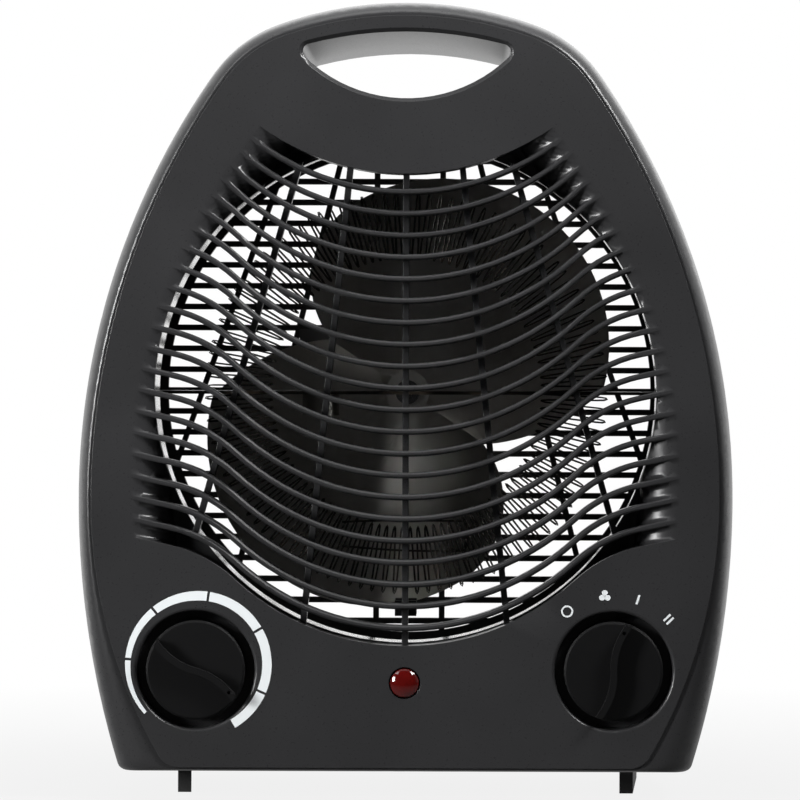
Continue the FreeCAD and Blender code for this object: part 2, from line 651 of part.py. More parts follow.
def rear_shell():
    wall = size("wall")
    inside_y = rear_y - size("rear_wall")
    roll_y = rear_y - size("rear_roll")
    outer = rolled_hull(parting_y, roll_y, rear_y, 0, 0, size("rear_edge"))
    hollow = rolled_hull(parting_y, roll_y, inside_y, wall, 0, size("rear_edge"))
    bolts = [(0, axis_z - size("bolt_height")), (0, axis_z + size("bolt_height"))]
    kept = [handle_hole(wall, parting_y, rear_y)]
    kept += [round_bar(x, z, size("post_radius"), parting_y, rear_y) for x, z in post_spots()]
    kept += [round_bar(x, z, size("motor_boss_radius"), motor_seat_y, rear_y) for x, z in bolts]
    hollow = hollow.cut(kept)
    past = rear_y + OVERRUN
    within = inside_y - OVERRUN
    gaps = round_bar(0, axis_z, size("inlet_radius"), within, past)
    gaps = gaps.cut(inlet_bars(within - OVERRUN, past + OVERRUN))
    gaps = gaps.cut(round_bar(0, axis_z, size("inlet_pad_radius"), within - OVERRUN, past + OVERRUN))
    seat_y = parting_y + size("screw_grip")
    shank = size("screw_radius") + size("seat_clearance")
    bolt = size("bolt_radius") + size("seat_clearance")
    bolt_tip_y = motor_seat_y + size("bolt_bite") + size("tip_room")
    bushing = size("bushing_radius") + size("seat_clearance")
    tools = [hollow, handle_hole(0, parting_y - OVERRUN, past), handle_mouth(rear_y, -1), gaps,
             round_bar(size("inlet_side"), size("inlet_height"), bushing, within, past)]
    for x, z in post_spots():
        tools.append(round_bar(x, z, shank, parting_y - OVERRUN, seat_y + OVERRUN))
        tools.append(round_bar(x, z, size("screw_head_radius") + size("head_room"), seat_y, past))
    tools += [round_bar(x, z, bolt, motor_seat_y - OVERRUN, bolt_tip_y) for x, z in bolts]
    tools += peg_holes(1)
    return outer.cut(tools).removeSplitter()


rear = doc.addObject("Part::Feature", "RearShell")
rear.Shape = only_solid(rear_shell(), "rear_shell")
keep(rear, "rear_shell")

case_screws = []
for number, (across, up) in enumerate(POSTS, start=1):
    for side, sign in (("left", "-1 * "), ("right", "")):
        case_screws.append(screw("case_screw_%s_%d" % (side, number), sign + across, up,
                                 "(%s + screw_grip)" % PARTING, "screw_radius", "screw_grip + screw_bite",
                                 "screw_head_radius", "screw_head_height"))
group("case_screws", case_screws)


# Feet: two slim skids that spread towards the rear, with two pegs each, pushed into the casing floor

for side, sign in (("left", "-1 * "), ("right", "")):
    name = side + "_foot"
    skid = doc.addObject("Part::Wedge", name + "_skid")
    for edge, across in (("min", " - foot_width / 2"), ("max", " + foot_width / 2")):
        tie(skid, "X" + edge, sign + "foot_side" + across)
        tie(skid, "X2" + edge, sign + "(foot_side + foot_splay)" + across)
    for letter, low, high in (("Y", "%s - foot_reach" % PARTING, "%s + foot_rear_reach" % PARTING),
                              ("Z", "0", "foot_height"), ("Z2", "0", "foot_height")):
        tie(skid, letter + "max", high)
        tie(skid, letter + "min", low)
    pegs = []
    for end, along in (("front", "peg_inset"), ("rear", "(foot_reach + foot_rear_reach - peg_inset)")):
        peg = doc.addObject("Part::Cylinder", "%s_%s_peg" % (name, end))
        tie(peg, "Radius", "peg_radius")
        tie(peg, "Height", "foot_height / 2 + peg_length")
        across = sign + "(foot_side + foot_splay * %s / (foot_reach + foot_rear_reach))" % along
        pegs.append(place(peg, across, "%s - foot_reach + %s" % (PARTING, along), "foot_height / 2"))
    keep(join(name, [skid] + pegs), name)


# Sheet metal duct round the element, with four ears screwed to the front casing

duct, duct_sketch = body("heat_duct", "XZ_Plane")
draw_circle(duct_sketch, "0", "0", "duct_radius")
draw_circle(duct_sketch, "0", "0", "duct_radius + duct_sheet")
pad(duct, duct_sketch, "duct_band", DUCT_FRONT, "duct_length")
doc.recompute()
ear_sketch = sketch_on(duct, "duct_ear_sketch", "XZ_Plane")
draw_box(ear_sketch, "duct_radius + duct_sheet / 2", "-1 * ear_half_width", "ear_circle + ear_reach",
         "ear_half_width")
draw_circle(ear_sketch, "ear_circle", "0", "screw_radius + seat_clearance")
ear = pad(duct, ear_sketch, "duct_ear", DUCT_FRONT, "duct_sheet")
doc.recompute()
ears = duct.newObject("PartDesign::PolarPattern", "duct_ears")
ears.Originals = [ear]
ears.Axis = (duct_sketch, ["N_Axis"])
ears.Angle = 360
ears.Occurrences = 4
duct.Tip = ears
place(duct, "0", "0", "axis_height", FreeCAD.Rotation(Y_AXIS, 45))
keep(duct, "heat_duct")

duct_screws = []
for up_name, up_sign in (("low", "-"), ("high", "+")):
    for side, sign in (("left", "-1 * "), ("right", "")):
        duct_screws.append(screw("duct_screw_%s_%s" % (up_name, side), sign + "ear_circle * cos(45 deg)",
                                 "axis_height %s ear_circle * cos(45 deg)" % up_sign,
                                 "(%s + duct_sheet)" % DUCT_FRONT, "screw_radius", "duct_sheet + duct_bite",
                                 "screw_head_radius", "screw_head_height"))
group("duct_screws", duct_screws)


# Heating element: two folded wire rings on a cross of two slotted mica boards

BOARD_REACH = "(duct_radius - slot_clearance)"
BOARD_SLOT = "(board_thick / 2 + slot_clearance)"


def cross_bore(name, x, y, z, turn):
    """A hole through a board for one fold of the wire."""
    hole = doc.addObject("Part::Cylinder", name)
    tie(hole, "Radius", "wire_hole_radius")
    tie(hole, "Height", "board_thick * 2")
    return place(hole, x, y, z, turn)


upright = block("mica_upright_board", "-1 * board_thick / 2", BOARD_FRONT, "axis_height - %s" % BOARD_REACH,
                "board_thick", "board_depth", "2 * %s" % BOARD_REACH)
upright_slot = block("mica_upright_slot", "-1 * board_thick", "%s - slot_clearance" % BOARD_FRONT,
                     "axis_height - %s" % BOARD_SLOT, "2 * board_thick",
                     "board_depth / 2 + 2 * slot_clearance", "2 * %s" % BOARD_SLOT)
TO_X = FreeCAD.Rotation(Y_AXIS, 90)
upright_holes = [cross_bore("mica_upright_hole_" + end, "-1 * board_thick", depth,
                            "axis_height + fold_outer_radius", TO_X)
                 for end, depth in (("front", RING_FRONT), ("rear", RING_REAR))]
keep(cut("mica_upright", upright, [upright_slot] + upright_holes), "mica_upright")

level = block("mica_level_board", "-1 * %s" % BOARD_REACH, BOARD_FRONT, "axis_height - board_thick / 2",
              "2 * %s" % BOARD_REACH, "board_depth", "board_thick")
level_slot = block("mica_level_slot", "-1 * %s" % BOARD_SLOT,
                   "%s + board_depth / 2 - slot_clearance" % BOARD_FRONT, "axis_height - board_thick",
                   "2 * %s" % BOARD_SLOT, "board_depth / 2 + 2 * slot_clearance", "2 * board_thick")
level_holes = [cross_bore("mica_level_hole_%s_%s" % (side, end), sign + "fold_inner_radius", depth,
                          "axis_height - board_thick", FreeCAD.Rotation())
               for side, sign in (("left", "-1 * "), ("right", ""))
               for end, depth in (("front", RING_FRONT), ("rear", RING_REAR))]
keep(cut("mica_level", level, [level_slot] + level_holes), "mica_level")


def ray(radius, angle):
    return spot(radius * math.cos(angle), radius * math.sin(angle))


def folded_path():
    """A wire folded in and out round a ring: radial strands joined by round folds, open at the bottom."""
    strands = 2 * int(size("fold_count"))
    half_step = math.pi / strands
    outer = size("fold_outer_radius") / (1 + math.sin(half_step))
    inner = size("fold_inner_radius") / (1 - math.sin(half_step))
    first = -math.pi / 2 + half_step
    edges = []
    here = ray(outer + size("tail_length"), first)
    for i in range(strands):
        angle = first + 2 * half_step * i
        inward = i % 2 == 0
        centre_radius = inner if inward else outer
        if i == strands - 1:
            edges.append(line(here, ray(outer + size("tail_length"), angle)))
            break
        turn = ray(centre_radius * math.cos(half_step), angle)
        edges.append(line(here, turn))
        middle = angle + half_step
        radius = centre_radius * math.sin(half_step)
        apex = ray(centre_radius - radius if inward else centre_radius + radius, middle)
        end = ray(centre_radius * math.cos(half_step), angle + 2 * half_step)
        centre = ray(centre_radius, middle)
        for start, stop in ((turn, apex), (apex, end)):
            edges.append(arc(start, centre, radius, stop))
        here = end
    return edges


def least_gap(edges):
    """The least clear distance between turns of a wire that aren't next to each other along it."""
    spacing = size("wire_radius") * 2
    points = []
    for edge in edges:
        points += edge.discretize(Distance=spacing)[:-1]
    skip = int(math.pi * size("fold_inner_radius") / size("fold_count") / spacing) + 2
    least = min((points[i] - points[j]).Length for i in range(len(points))
                for j in range(i + skip, min(i + 40 * skip, len(points))))
    return least - 2 * size("wire_radius")


def folded_wire():
    edges = folded_path()
    print("element wire: least gap %.2f mm" % least_gap(edges))
    path = Part.Wire(edges)
    heading = (edges[0].Vertexes[1].Point - edges[0].Vertexes[0].Point).normalize()
    section = Part.Wire(Part.makeCircle(size("wire_radius"), edges[0].Vertexes[0].Point, heading))
    return path.makePipeShell([section], True, False)


wire_ring = folded_wire()
for end, depth in (("front", RING_FRONT), ("rear", RING_REAR)):
    ring = doc.addObject("Part::Feature", "ElementRing" + end.capitalize())
    ring.Shape = wire_ring
    keep(place(ring, "0", depth, "axis_height"), "element_" + end)

# Four terminal blocks at the foot of the upright board take the wire ends
terminals = []
TERMINAL_TOP = "axis_height - fold_outer_radius - tail_length"
for side, x in (("left", "-1 * board_thick / 2 - terminal_width"), ("right", "board_thick / 2")):
    for end, depth in (("front", RING_FRONT), ("rear", RING_REAR)):
        terminals.append(block("element_terminal_%s_%s" % (side, end), x, "%s - terminal_depth / 2" % depth,
                               "%s - terminal_height" % TERMINAL_TOP, "terminal_width", "terminal_depth",
                               "terminal_height"))
group("element_terminals", terminals)

# The thermal cut-out hangs under the level board, on the left
cutout = doc.addObject("Part::Cylinder", "thermal_cutout_can")
tie(cutout, "Radius", "cutout_radius")
tie(cutout, "Height", "cutout_height")
place(cutout, "-1 * cutout_side", "%s + board_depth / 2" % BOARD_FRONT,
      "axis_height - board_thick / 2 - cutout_height")
keep(cutout, "thermal_cutout")


# Motor: laminated core with the coil on its left leg, two bearing bridges, two long bolts

core, core_sketch = body("motor_core", "XZ_Plane")
draw_box(core_sketch, "-1 * core_left", "-1 * core_half_height", "core_right", "core_half_height")
draw_box(core_sketch, "core_leg - core_left", "-1 * core_window_half", "core_leg + core_window - core_left",
         "core_window_half")
draw_circle(core_sketch, "0", "0", "stator_bore")
for sign in ("", "-1 * "):
    draw_circle(core_sketch, "0", sign + "bolt_height", "bolt_radius + seat_clearance")
pad(core, core_sketch, "core_stack", CORE_FRONT, "core_depth")
place(core, "0", "0", "axis_height")
keep(core, "motor_core")

# The bobbin and its winding sit on the core's left leg
LEG_LEFT = "(-1 * core_left - bobbin_gap)"
LEG_WIDTH = "(core_leg + 2 * bobbin_gap)"
LEG_FRONT = "(%s - bobbin_gap)" % CORE_FRONT
LEG_DEPTH = "(core_depth + 2 * bobbin_gap)"
COIL_HALF = "(core_window_half - bobbin_gap)"


def leg_sleeve(name, grow, half_height):
    """A box round the core's leg, grown all round."""
    return block(name, "%s - (%s)" % (LEG_LEFT, grow), "%s - (%s)" % (LEG_FRONT, grow),
                 "axis_height - (%s)" % half_height, "%s + 2 * (%s)" % (LEG_WIDTH, grow),
                 "%s + 2 * (%s)" % (LEG_DEPTH, grow), "2 * (%s)" % half_height)


FLANGE_INNER = "%s - bobbin_wall" % COIL_HALF
spool = leg_sleeve("bobbin_spool", "bobbin_wall + winding_build", COIL_HALF)
spool_bore = leg_sleeve("bobbin_bore", "0", "core_window_half + bobbin_wall")
groove_outer = leg_sleeve("bobbin_groove_outer", "2 * winding_build + bobbin_wall", FLANGE_INNER)
groove = cut("bobbin_groove", groove_outer, [leg_sleeve("bobbin_groove_inner", "bobbin_wall", COIL_HALF)])
keep(cut("motor_bobbin", spool, [spool_bore, groove]), "motor_bobbin")
winding = cut("motor_winding", leg_sleeve("winding_outer", "bobbin_wall + winding_build - bobbin_gap",
                                          "%s - seat_clearance" % FLANGE_INNER),
              [leg_sleeve("winding_inner", "bobbin_wall + seat_clearance", COIL_HALF)])
keep(winding, "motor_winding")


def bridge(label, strip_start, leg_start):
    """A strip across the rotor on two legs, with a hole for its bearing and two for the bolts."""
    strip = block(label + "_strip", "-1 * bridge_half_width", strip_start, "axis_height - core_half_height",
                  "2 * bridge_half_width", "bridge_sheet", "2 * core_half_height")
    legs = [block("%s_%s_leg" % (label, end), "-1 * bridge_half_width", leg_start, z, "2 * bridge_half_width",
                  "bridge_leg", "bridge_leg_height")
            for end, z in (("low", "axis_height - core_half_height"),
                           ("high", "axis_height + core_half_height - bridge_leg_height"))]
    reach = "bridge_leg + 2 * bridge_sheet"
    holes = [rod(label + "_bearing_hole", "bearing_radius + seat_clearance", "%s - bridge_leg" % strip_start,
                 "2 * bridge_leg + 2 * bridge_sheet")]
    first = "%s - bridge_leg" % strip_start
    for end, sign in (("low", "-"), ("high", "+")):
        holes.append(rod("%s_%s_hole" % (label, end), "bolt_radius + seat_clearance", first,
                         "bridge_leg + " + reach, "0", "axis_height %s bolt_height" % sign))
    return keep(cut(label, join(label + "_blank", [strip] + legs), holes), label)


bridge("motor_front_bridge", BRIDGE_FRONT, "%s + bridge_sheet" % BRIDGE_FRONT)
bridge("motor_rear_bridge", "%s + bridge_leg" % CORE_REAR, CORE_REAR)

FRONT_BEARING = "(%s - bearing_lip)" % BRIDGE_FRONT
REAR_BEARING = "(%s + bearing_lip - bearing_length)" % MOTOR_SEAT
for end, start in (("front", FRONT_BEARING), ("rear", REAR_BEARING)):
    name = end + "_bearing"
    bush = rod(name + "_bush", "bearing_radius", start, "bearing_length")
    bore = rod(name + "_bore", "shaft_radius + running_clearance", "%s - bearing_lip" % start,
               "bearing_length + 2 * bearing_lip")
    keep(cut(name, bush, [bore]), name)

BOLT_REACH = "%s - %s + bolt_bite" % (MOTOR_SEAT, BRIDGE_FRONT)
group("motor_bolts", [screw("motor_bolt_" + end, "0", "axis_height %s bolt_height" % sign, BRIDGE_FRONT,
                            "bolt_radius", BOLT_REACH, "bolt_head_radius", "bolt_head_height", backward=True)
                      for end, sign in (("low", "-"), ("high", "+"))])


# Turning parts of the motor: cage rotor, shaft, fan and the clip that holds the fan

rotor_cage = rod("rotor_cage", "stator_bore - air_gap", CORE_FRONT, "core_depth")
rotor_rings = rod("rotor_rings", "rotor_ring_radius", "%s - rotor_ring_depth" % CORE_FRONT,
                  "core_depth + 2 * rotor_ring_depth")
rotor_bore = rod("rotor_bore", "shaft_radius + seat_clearance", "%s - 2 * rotor_ring_depth" % CORE_FRONT,
                 "core_depth + 4 * rotor_ring_depth")
keep(cut("motor_rotor", join("rotor_blank", [rotor_cage, rotor_rings]), [rotor_bore]), "motor_rotor")
SHAFT_START = "(%s - shaft_nose)" % HUB_FRONT
SHAFT_LENGTH = "%s + bearing_lip + shaft_tail - %s" % (MOTOR_SEAT, SHAFT_START)
keep(rod("shaft_bar", "shaft_radius", SHAFT_START, SHAFT_LENGTH), "motor_shaft")
clip_disc = rod("clip_disc", "clip_radius", "%s - clip_thick" % HUB_FRONT, "clip_thick")
clip_bore = rod("clip_bore", "shaft_radius + seat_clearance", "%s - 2 * clip_thick" % HUB_FRONT,
                "3 * clip_thick")
keep(cut("fan_clip", clip_disc, [clip_bore]), "fan_clip")


def polar(radius, degrees):
    return ray(radius, math.radians(degrees))


def fan_blade():
    """One broad sheet blade: its outline seen from the front, cut from a tilted and cambered sheet."""
    tip = size("fan_tip_radius")
    root = size("blade_root")
    low_root = polar(root, size("root_start"))
    low_break = polar(size("root_break"), size("root_start"))
    low_tip = polar(size("blade_corner"), size("tip_start"))
    high_tip = polar(size("blade_corner"), size("tip_end"))
    high_break = polar(size("root_break"), size("root_end"))
    high_root = polar(root, size("root_end"))
    middle = size("blade_axis_angle")
    edges = [line(low_root, low_break),
             Part.Arc(low_break, polar(size("trail_bow"), size("trail_bow_angle")), low_tip).toShape(),
             Part.Arc(low_tip, polar(tip, (size("tip_start") + size("tip_end")) / 2), high_tip).toShape(),
             Part.Arc(high_tip, polar(size("lead_bow"), size("lead_bow_angle")), high_break).toShape(),
             line(high_break, high_root),
             Part.Arc(high_root, polar(root, middle), low_root).toShape()]
    wire = Part.Wire(edges)
    wire.translate(Y_AXIS * -tip)
    planform = prism(wire, 2 * tip)
    slope = math.tan(math.radians(size("blade_tilt")))
    camber = size("blade_camber")
    rows = []
    for lift in (-size("fan_sheet") / 2, size("fan_sheet") / 2):
        rows.append([FreeCAD.Vector(0, slope * side * tip + camber * (1 - side ** 2) + lift, side * tip)
                     for side in (-1, 0, 1)])
    front_row, back_row = rows
    sheet_edges = [Part.Arc(*front_row).toShape(), line(front_row[2], back_row[2]),
                   Part.Arc(back_row[2], back_row[1], back_row[0]).toShape(), line(back_row[0], front_row[0])]
    strip = Part.Face(Part.Wire(sheet_edges)).extrude(FreeCAD.Vector(2 * tip, 0, 0))
    strip.translate(FreeCAD.Vector(-tip, 0, 0))
    strip.rotate(FreeCAD.Vector(), Y_AXIS, -middle)
    return planform.common(strip)


def fan_wheel():
    blade = fan_blade()
    opposite = blade.copy()
    opposite.rotate(FreeCAD.Vector(), Y_AXIS, 180)
    half = size("hub_length") / 2
    hub = round_bar(0, 0, size("hub_radius"), -half, half)
    bore = round_bar(0, 0, size("shaft_radius") + size("seat_clearance"), -2 * half, 2 * half)
    return hub.fuse([blade, opposite]).cut(bore)


fan = doc.addObject("Part::Feature", "FanWheel")
fan.Shape = only_solid(fan_wheel(), "fan")
keep(place(fan, "0", "%s + hub_length / 2" % HUB_FRONT, "axis_height"), "fan")


# Controls: thermostat on the left, heat selector on the right, each on a bush through its well floor

def knob_ridge(label, sign):
    """The S-shaped grip across a knob's front: two opposite bows, with a pointer dot near one end."""
    reach = size("knob_radius") - size("ridge_margin")
    half = size("ridge_width") / 2
    sweep = size("ridge_sweep")
    points = {}
    for edge, lift in (("low", -half), ("high", half)):
        points[edge] = [spot(-reach, lift), spot(-reach / 2, lift - sweep), spot(0, lift),
                        spot(reach / 2, lift + sweep), spot(reach, lift)]
    low = points["low"]
    high = points["high"]
    edges = [Part.Arc(low[0], low[1], low[2]).toShape(), Part.Arc(low[2], low[3], low[4]).toShape(),
             line(low[4], high[4]), Part.Arc(high[4], high[3], high[2]).toShape(),
             Part.Arc(high[2], high[1], high[0]).toShape(), line(high[0], low[0])]
    height = size("knob_stand") - size("knob_proud") + size("ridge_root")
    ridge = doc.addObject("Part::Feature", label + "_ridge")
    share = 1 - size("dot_margin") / reach
    dot = Part.makeCylinder(size("dot_radius"), size("dot_depth") + OVERRUN,
                            spot(share * reach, 4 * sweep * share * (1 - share), -OVERRUN), Y_AXIS)
    ridge.Shape = prism(Part.Wire(edges), height).cut(dot)
    turn = FreeCAD.Rotation(Y_AXIS, -size(label + "_pointer"))
    return place(ridge, sign + "knob_side", "%s - knob_stand" % FACE, "knob_height", turn)


KNOB_BACK = "(%s - knob_gap)" % WELL_FLOOR
KNOB_ROOF = "(%s + knob_top)" % KNOB_FRONT
SOCKET = "(spindle_radius + seat_clearance)"
SOCKET_END = "(%s + knob_hub_drop)" % KNOB_ROOF
SPINDLE_START = "(%s - spindle_in_knob)" % SOCKET_END
nuts = []
for label, sign in (("thermostat", "-1 * "), ("selector", "")):
    x = sign + "knob_side"
    cap = turned(label + "_knob_cap", [
        ("0", KNOB_FRONT), ("knob_radius - knob_chamfer", KNOB_FRONT),
        ("knob_radius", "%s + knob_chamfer" % KNOB_FRONT), ("knob_radius", KNOB_BACK),
        ("knob_radius - knob_wall", KNOB_BACK), ("knob_radius - knob_wall", KNOB_ROOF),
        ("knob_hub_radius", KNOB_ROOF), ("knob_hub_radius", SOCKET_END), (SOCKET, SOCKET_END),
        (SOCKET, "%s - seat_clearance" % SPINDLE_START), ("0", "%s - seat_clearance" % SPINDLE_START)],
        x, "knob_height")
    keep(join(label + "_knob", [cap, knob_ridge(label, sign)]), label + "_knob")
    keep(rod(label + "_spindle_bar", "spindle_radius", SPINDLE_START,
             "%s + spindle_in_base - %s" % (BASE_FRONT, SPINDLE_START), x, "knob_height"), label + "_spindle")
    keep(turned(label + "_bush", [
        ("spindle_radius + running_clearance", "%s - bush_nose" % WELL_FLOOR),
        ("bush_radius", "%s - bush_nose" % WELL_FLOOR), ("bush_radius", WELL_BACK),
        ("bush_flange_radius", WELL_BACK), ("bush_flange_radius", BASE_FRONT),
        ("spindle_radius + running_clearance", BASE_FRONT)], x, "knob_height"), label + "_bush")
    hexagon = doc.addObject("Part::Prism", label + "_nut_blank")
    hexagon.Polygon = 6
    tie(hexagon, "Circumradius", "nut_radius")
    tie(hexagon, "Height", "nut_thick")
    place(hexagon, x, "%s - nut_thick" % WELL_FLOOR, "knob_height", ALONG_Y)
    nut_bore = rod(label + "_nut_bore", "bush_radius + seat_clearance", "%s - 2 * nut_thick" % WELL_FLOOR,
                   "3 * nut_thick", x, "knob_height")
    nuts.append(cut(label + "_nut", hexagon, [nut_bore]))
group("control_nuts", nuts)

base_block = block("thermostat_block", "-1 * knob_side - thermostat_width / 2", BASE_FRONT,
                   "knob_height - thermostat_height / 2", "thermostat_width", "thermostat_depth",
                   "thermostat_height")
base_bore = rod("thermostat_block_bore", "spindle_radius + running_clearance", WELL_BACK,
                "bush_flange + spindle_in_base + slot_clearance", "-1 * knob_side", "knob_height")
keep(cut("thermostat_base", base_block, [base_bore]), "thermostat_base")
STRIP_BACK = "(%s + thermostat_depth)" % BASE_FRONT
strips = []
for end, z in (("low", "knob_height - strip_width - strip_gap"), ("high", "knob_height + strip_gap")):
    post = block("thermostat_%s_post" % end, "-1 * knob_side - strip_length / 2", STRIP_BACK, z, "strip_post",
                 "strip_post", "strip_width")
    leaf = block("thermostat_%s_leaf" % end, "-1 * knob_side - strip_length / 2",
                 "%s + strip_post - strip_thick" % STRIP_BACK, z, "strip_length", "strip_thick",
                 "strip_width")
    strips.append(join("thermostat_%s_strip" % end, [post, leaf]))
group("thermostat_strips", strips)

selector_can = rod("selector_can", "selector_radius", BASE_FRONT, "selector_depth", "knob_side",
                   "knob_height")
selector_bore = rod("selector_can_bore", "spindle_radius + running_clearance", WELL_BACK,
                    "bush_flange + spindle_in_base + slot_clearance", "knob_side", "knob_height")
keep(cut("selector_case", selector_can, [selector_bore]), "selector_case")
group("selector_tabs", [block("selector_tab_%s_%s" % (side, end),
                              "knob_side %s tab_spread - tab_thick / 2" % across,
                              "%s + selector_depth" % BASE_FRONT,
                              "knob_height %s tab_spread - tab_width / 2" % up,
                              "tab_thick", "tab_length", "tab_width")
                        for side, across in (("left", "-"), ("right", "+"))
                        for end, up in (("low", "-"), ("high", "+"))])


# Pilot lamp: a red lens with a flange behind the panel, and its socket

lens_bar = rod("lens_bar", "lens_radius", "%s - lens_proud" % FACE, "lens_proud + panel_step + wall",
               "0", "lamp_height")
lens_rim = rod("lens_rim", "lens_flange", PANEL_BACK, "lens_flange_thick", "0", "lamp_height")
lens_ball = doc.addObject("Part::Sphere", "lens_ball")
tie(lens_ball, "Radius", "lens_flange + lens_dome")
place(lens_ball, "0", "%s - lens_proud + lens_flange + lens_dome" % FACE, "lamp_height")
lens = doc.addObject("Part::Common", "lamp_lens")
lens.Base = join("lens_blank", [lens_bar, lens_rim])
lens.Tool = lens_ball
keep(lens, "lamp_lens")
LENS_BACK = "(%s + lens_flange_thick)" % PANEL_BACK
keep(rod("lamp_socket_can", "socket_radius", LENS_BACK, "socket_length", "0", "lamp_height"), "lamp_socket")


# Mains inlet: a grommet in the rear wall, and a terminal block on the casing floor behind it

keep(turned("cord_bushing", [
    ("bushing_bore", "%s - bushing_flange_thick" % INLET_INSIDE),
    ("bushing_flange", "%s - bushing_flange_thick" % INLET_INSIDE), ("bushing_flange", INLET_INSIDE),
    ("bushing_radius", INLET_INSIDE), ("bushing_radius", REAR), ("bushing_bore", REAR)],
    "inlet_side", "inlet_height"), "cord_bushing")
terminal = block("terminal_body", "block_side", "%s + block_set - block_depth / 2" % PARTING,
                 "foot_height + wall", "block_width", "block_depth", "block_height")
ports = [rod("terminal_port_%d" % number, "block_port", "%s + block_set - block_depth" % PARTING,
             "2 * block_depth", "block_side + block_width * %d / 6" % number,
             "foot_height + wall + block_height / 2")
         for number in (1, 3, 5)]
keep(cut("terminal_block", terminal, ports), "terminal_block")


# Check every object, then write each sub-part

doc.recompute()
for thing in doc.Objects:
    if "Invalid" in thing.State or "Error" in thing.State:
        raise RuntimeError("%s did not build: %s" % (thing.Label, thing.State))
os.makedirs("parts", exist_ok=True)
for thing in finished:
    shape = thing.Shape
    if shape.isNull() or not shape.isValid() or not shape.Solids:
        raise RuntimeError("%s has no valid solid" % thing.Label)
    shape.exportStep(os.path.join("parts", thing.Label + ".step"))
print("sub-parts written:", len(finished))
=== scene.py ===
import math

import bpy
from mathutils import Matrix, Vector


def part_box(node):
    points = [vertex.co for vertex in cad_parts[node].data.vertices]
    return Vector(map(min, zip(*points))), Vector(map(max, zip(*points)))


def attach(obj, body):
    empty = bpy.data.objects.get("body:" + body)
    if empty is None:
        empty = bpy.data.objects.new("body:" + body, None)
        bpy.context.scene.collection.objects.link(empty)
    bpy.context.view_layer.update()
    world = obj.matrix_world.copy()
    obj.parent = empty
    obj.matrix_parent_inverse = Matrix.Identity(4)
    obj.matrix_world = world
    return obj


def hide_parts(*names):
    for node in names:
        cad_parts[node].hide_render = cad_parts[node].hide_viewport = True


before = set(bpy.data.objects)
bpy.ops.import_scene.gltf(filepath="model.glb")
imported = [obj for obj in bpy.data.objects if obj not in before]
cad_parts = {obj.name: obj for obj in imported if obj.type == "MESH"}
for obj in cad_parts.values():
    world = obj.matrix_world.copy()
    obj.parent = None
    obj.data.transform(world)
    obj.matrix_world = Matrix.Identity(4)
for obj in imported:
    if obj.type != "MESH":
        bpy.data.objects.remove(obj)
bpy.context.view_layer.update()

# Studio: a white sweep behind the heater, seen by the camera and in every glossy edge, with the room in
# front kept dark, so that black plastic shows pale rims where it turns away and a dark front. The floor
# keeps the heater's shadow and goes to white away from it.
room_fill = 0.07
room_front = -0.55
room_back = 0.2
dark_level = 0.02
floor_size = 12.0
floor_drop = 0.0002
floor_grey = 0.13
floor_rough = 0.8
floor_front = -0.2
floor_back = 0.4
shadow_level = 0.86
shadow_inner = 0.12
shadow_outer = 0.5


def ramp(tree, value, start, end, first=0.0, last=1.0):
    """A value that runs from first to last while the given one runs from start to end."""
    change = tree.nodes.new("ShaderNodeMapRange")
    change.inputs["From Min"].default_value = start
    change.inputs["From Max"].default_value = end
    change.inputs["To Min"].default_value = first
    change.inputs["To Max"].default_value = last
    tree.links.new(value, change.inputs["Value"])
    return change.outputs[0]


def combine(tree, operation, *terms):
    """One value worked out from others, each a plain number or the output of a node."""
    reckoned = tree.nodes.new("ShaderNodeMath")
    reckoned.operation = operation
    for socket, term in zip(reckoned.inputs, terms):
        if isinstance(term, float):
            socket.default_value = term
        else:
            tree.links.new(term, socket)
    return reckoned.outputs[0]


def depth_of(tree, vector):
    """How far towards the rear a place or a direction lies."""
    split = tree.nodes.new("ShaderNodeSeparateXYZ")
    tree.links.new(vector, split.inputs[0])
    return split.outputs["Y"]


world = bpy.data.worlds.new("white_sweep")
bpy.context.scene.world = world
world.use_nodes = True
tree = world.node_tree
ray = tree.nodes.new("ShaderNodeLightPath").outputs
direction = tree.nodes.new("ShaderNodeTexCoord").outputs["Generated"]
front_to_back = ramp(tree, depth_of(tree, direction), room_front, room_back, dark_level)
mirrored = combine(tree, "MAXIMUM", ray["Is Glossy Ray"], ray["Is Transmission Ray"])
lit = tree.nodes.new("ShaderNodeMix")
lit.inputs["A"].default_value = room_fill
tree.links.new(mirrored, lit.inputs["Factor"])
tree.links.new(front_to_back, lit.inputs["B"])
seen = tree.nodes.new("ShaderNodeMix")
seen.inputs["B"].default_value = 1.0
tree.links.new(ray["Is Camera Ray"], seen.inputs["Factor"])
tree.links.new(lit.outputs["Result"], seen.inputs["A"])
sky = tree.nodes["Background"]
sky.inputs["Color"].default_value = (1.0, 1.0, 1.0, 1.0)
tree.links.new(seen.outputs["Result"], sky.inputs["Strength"])

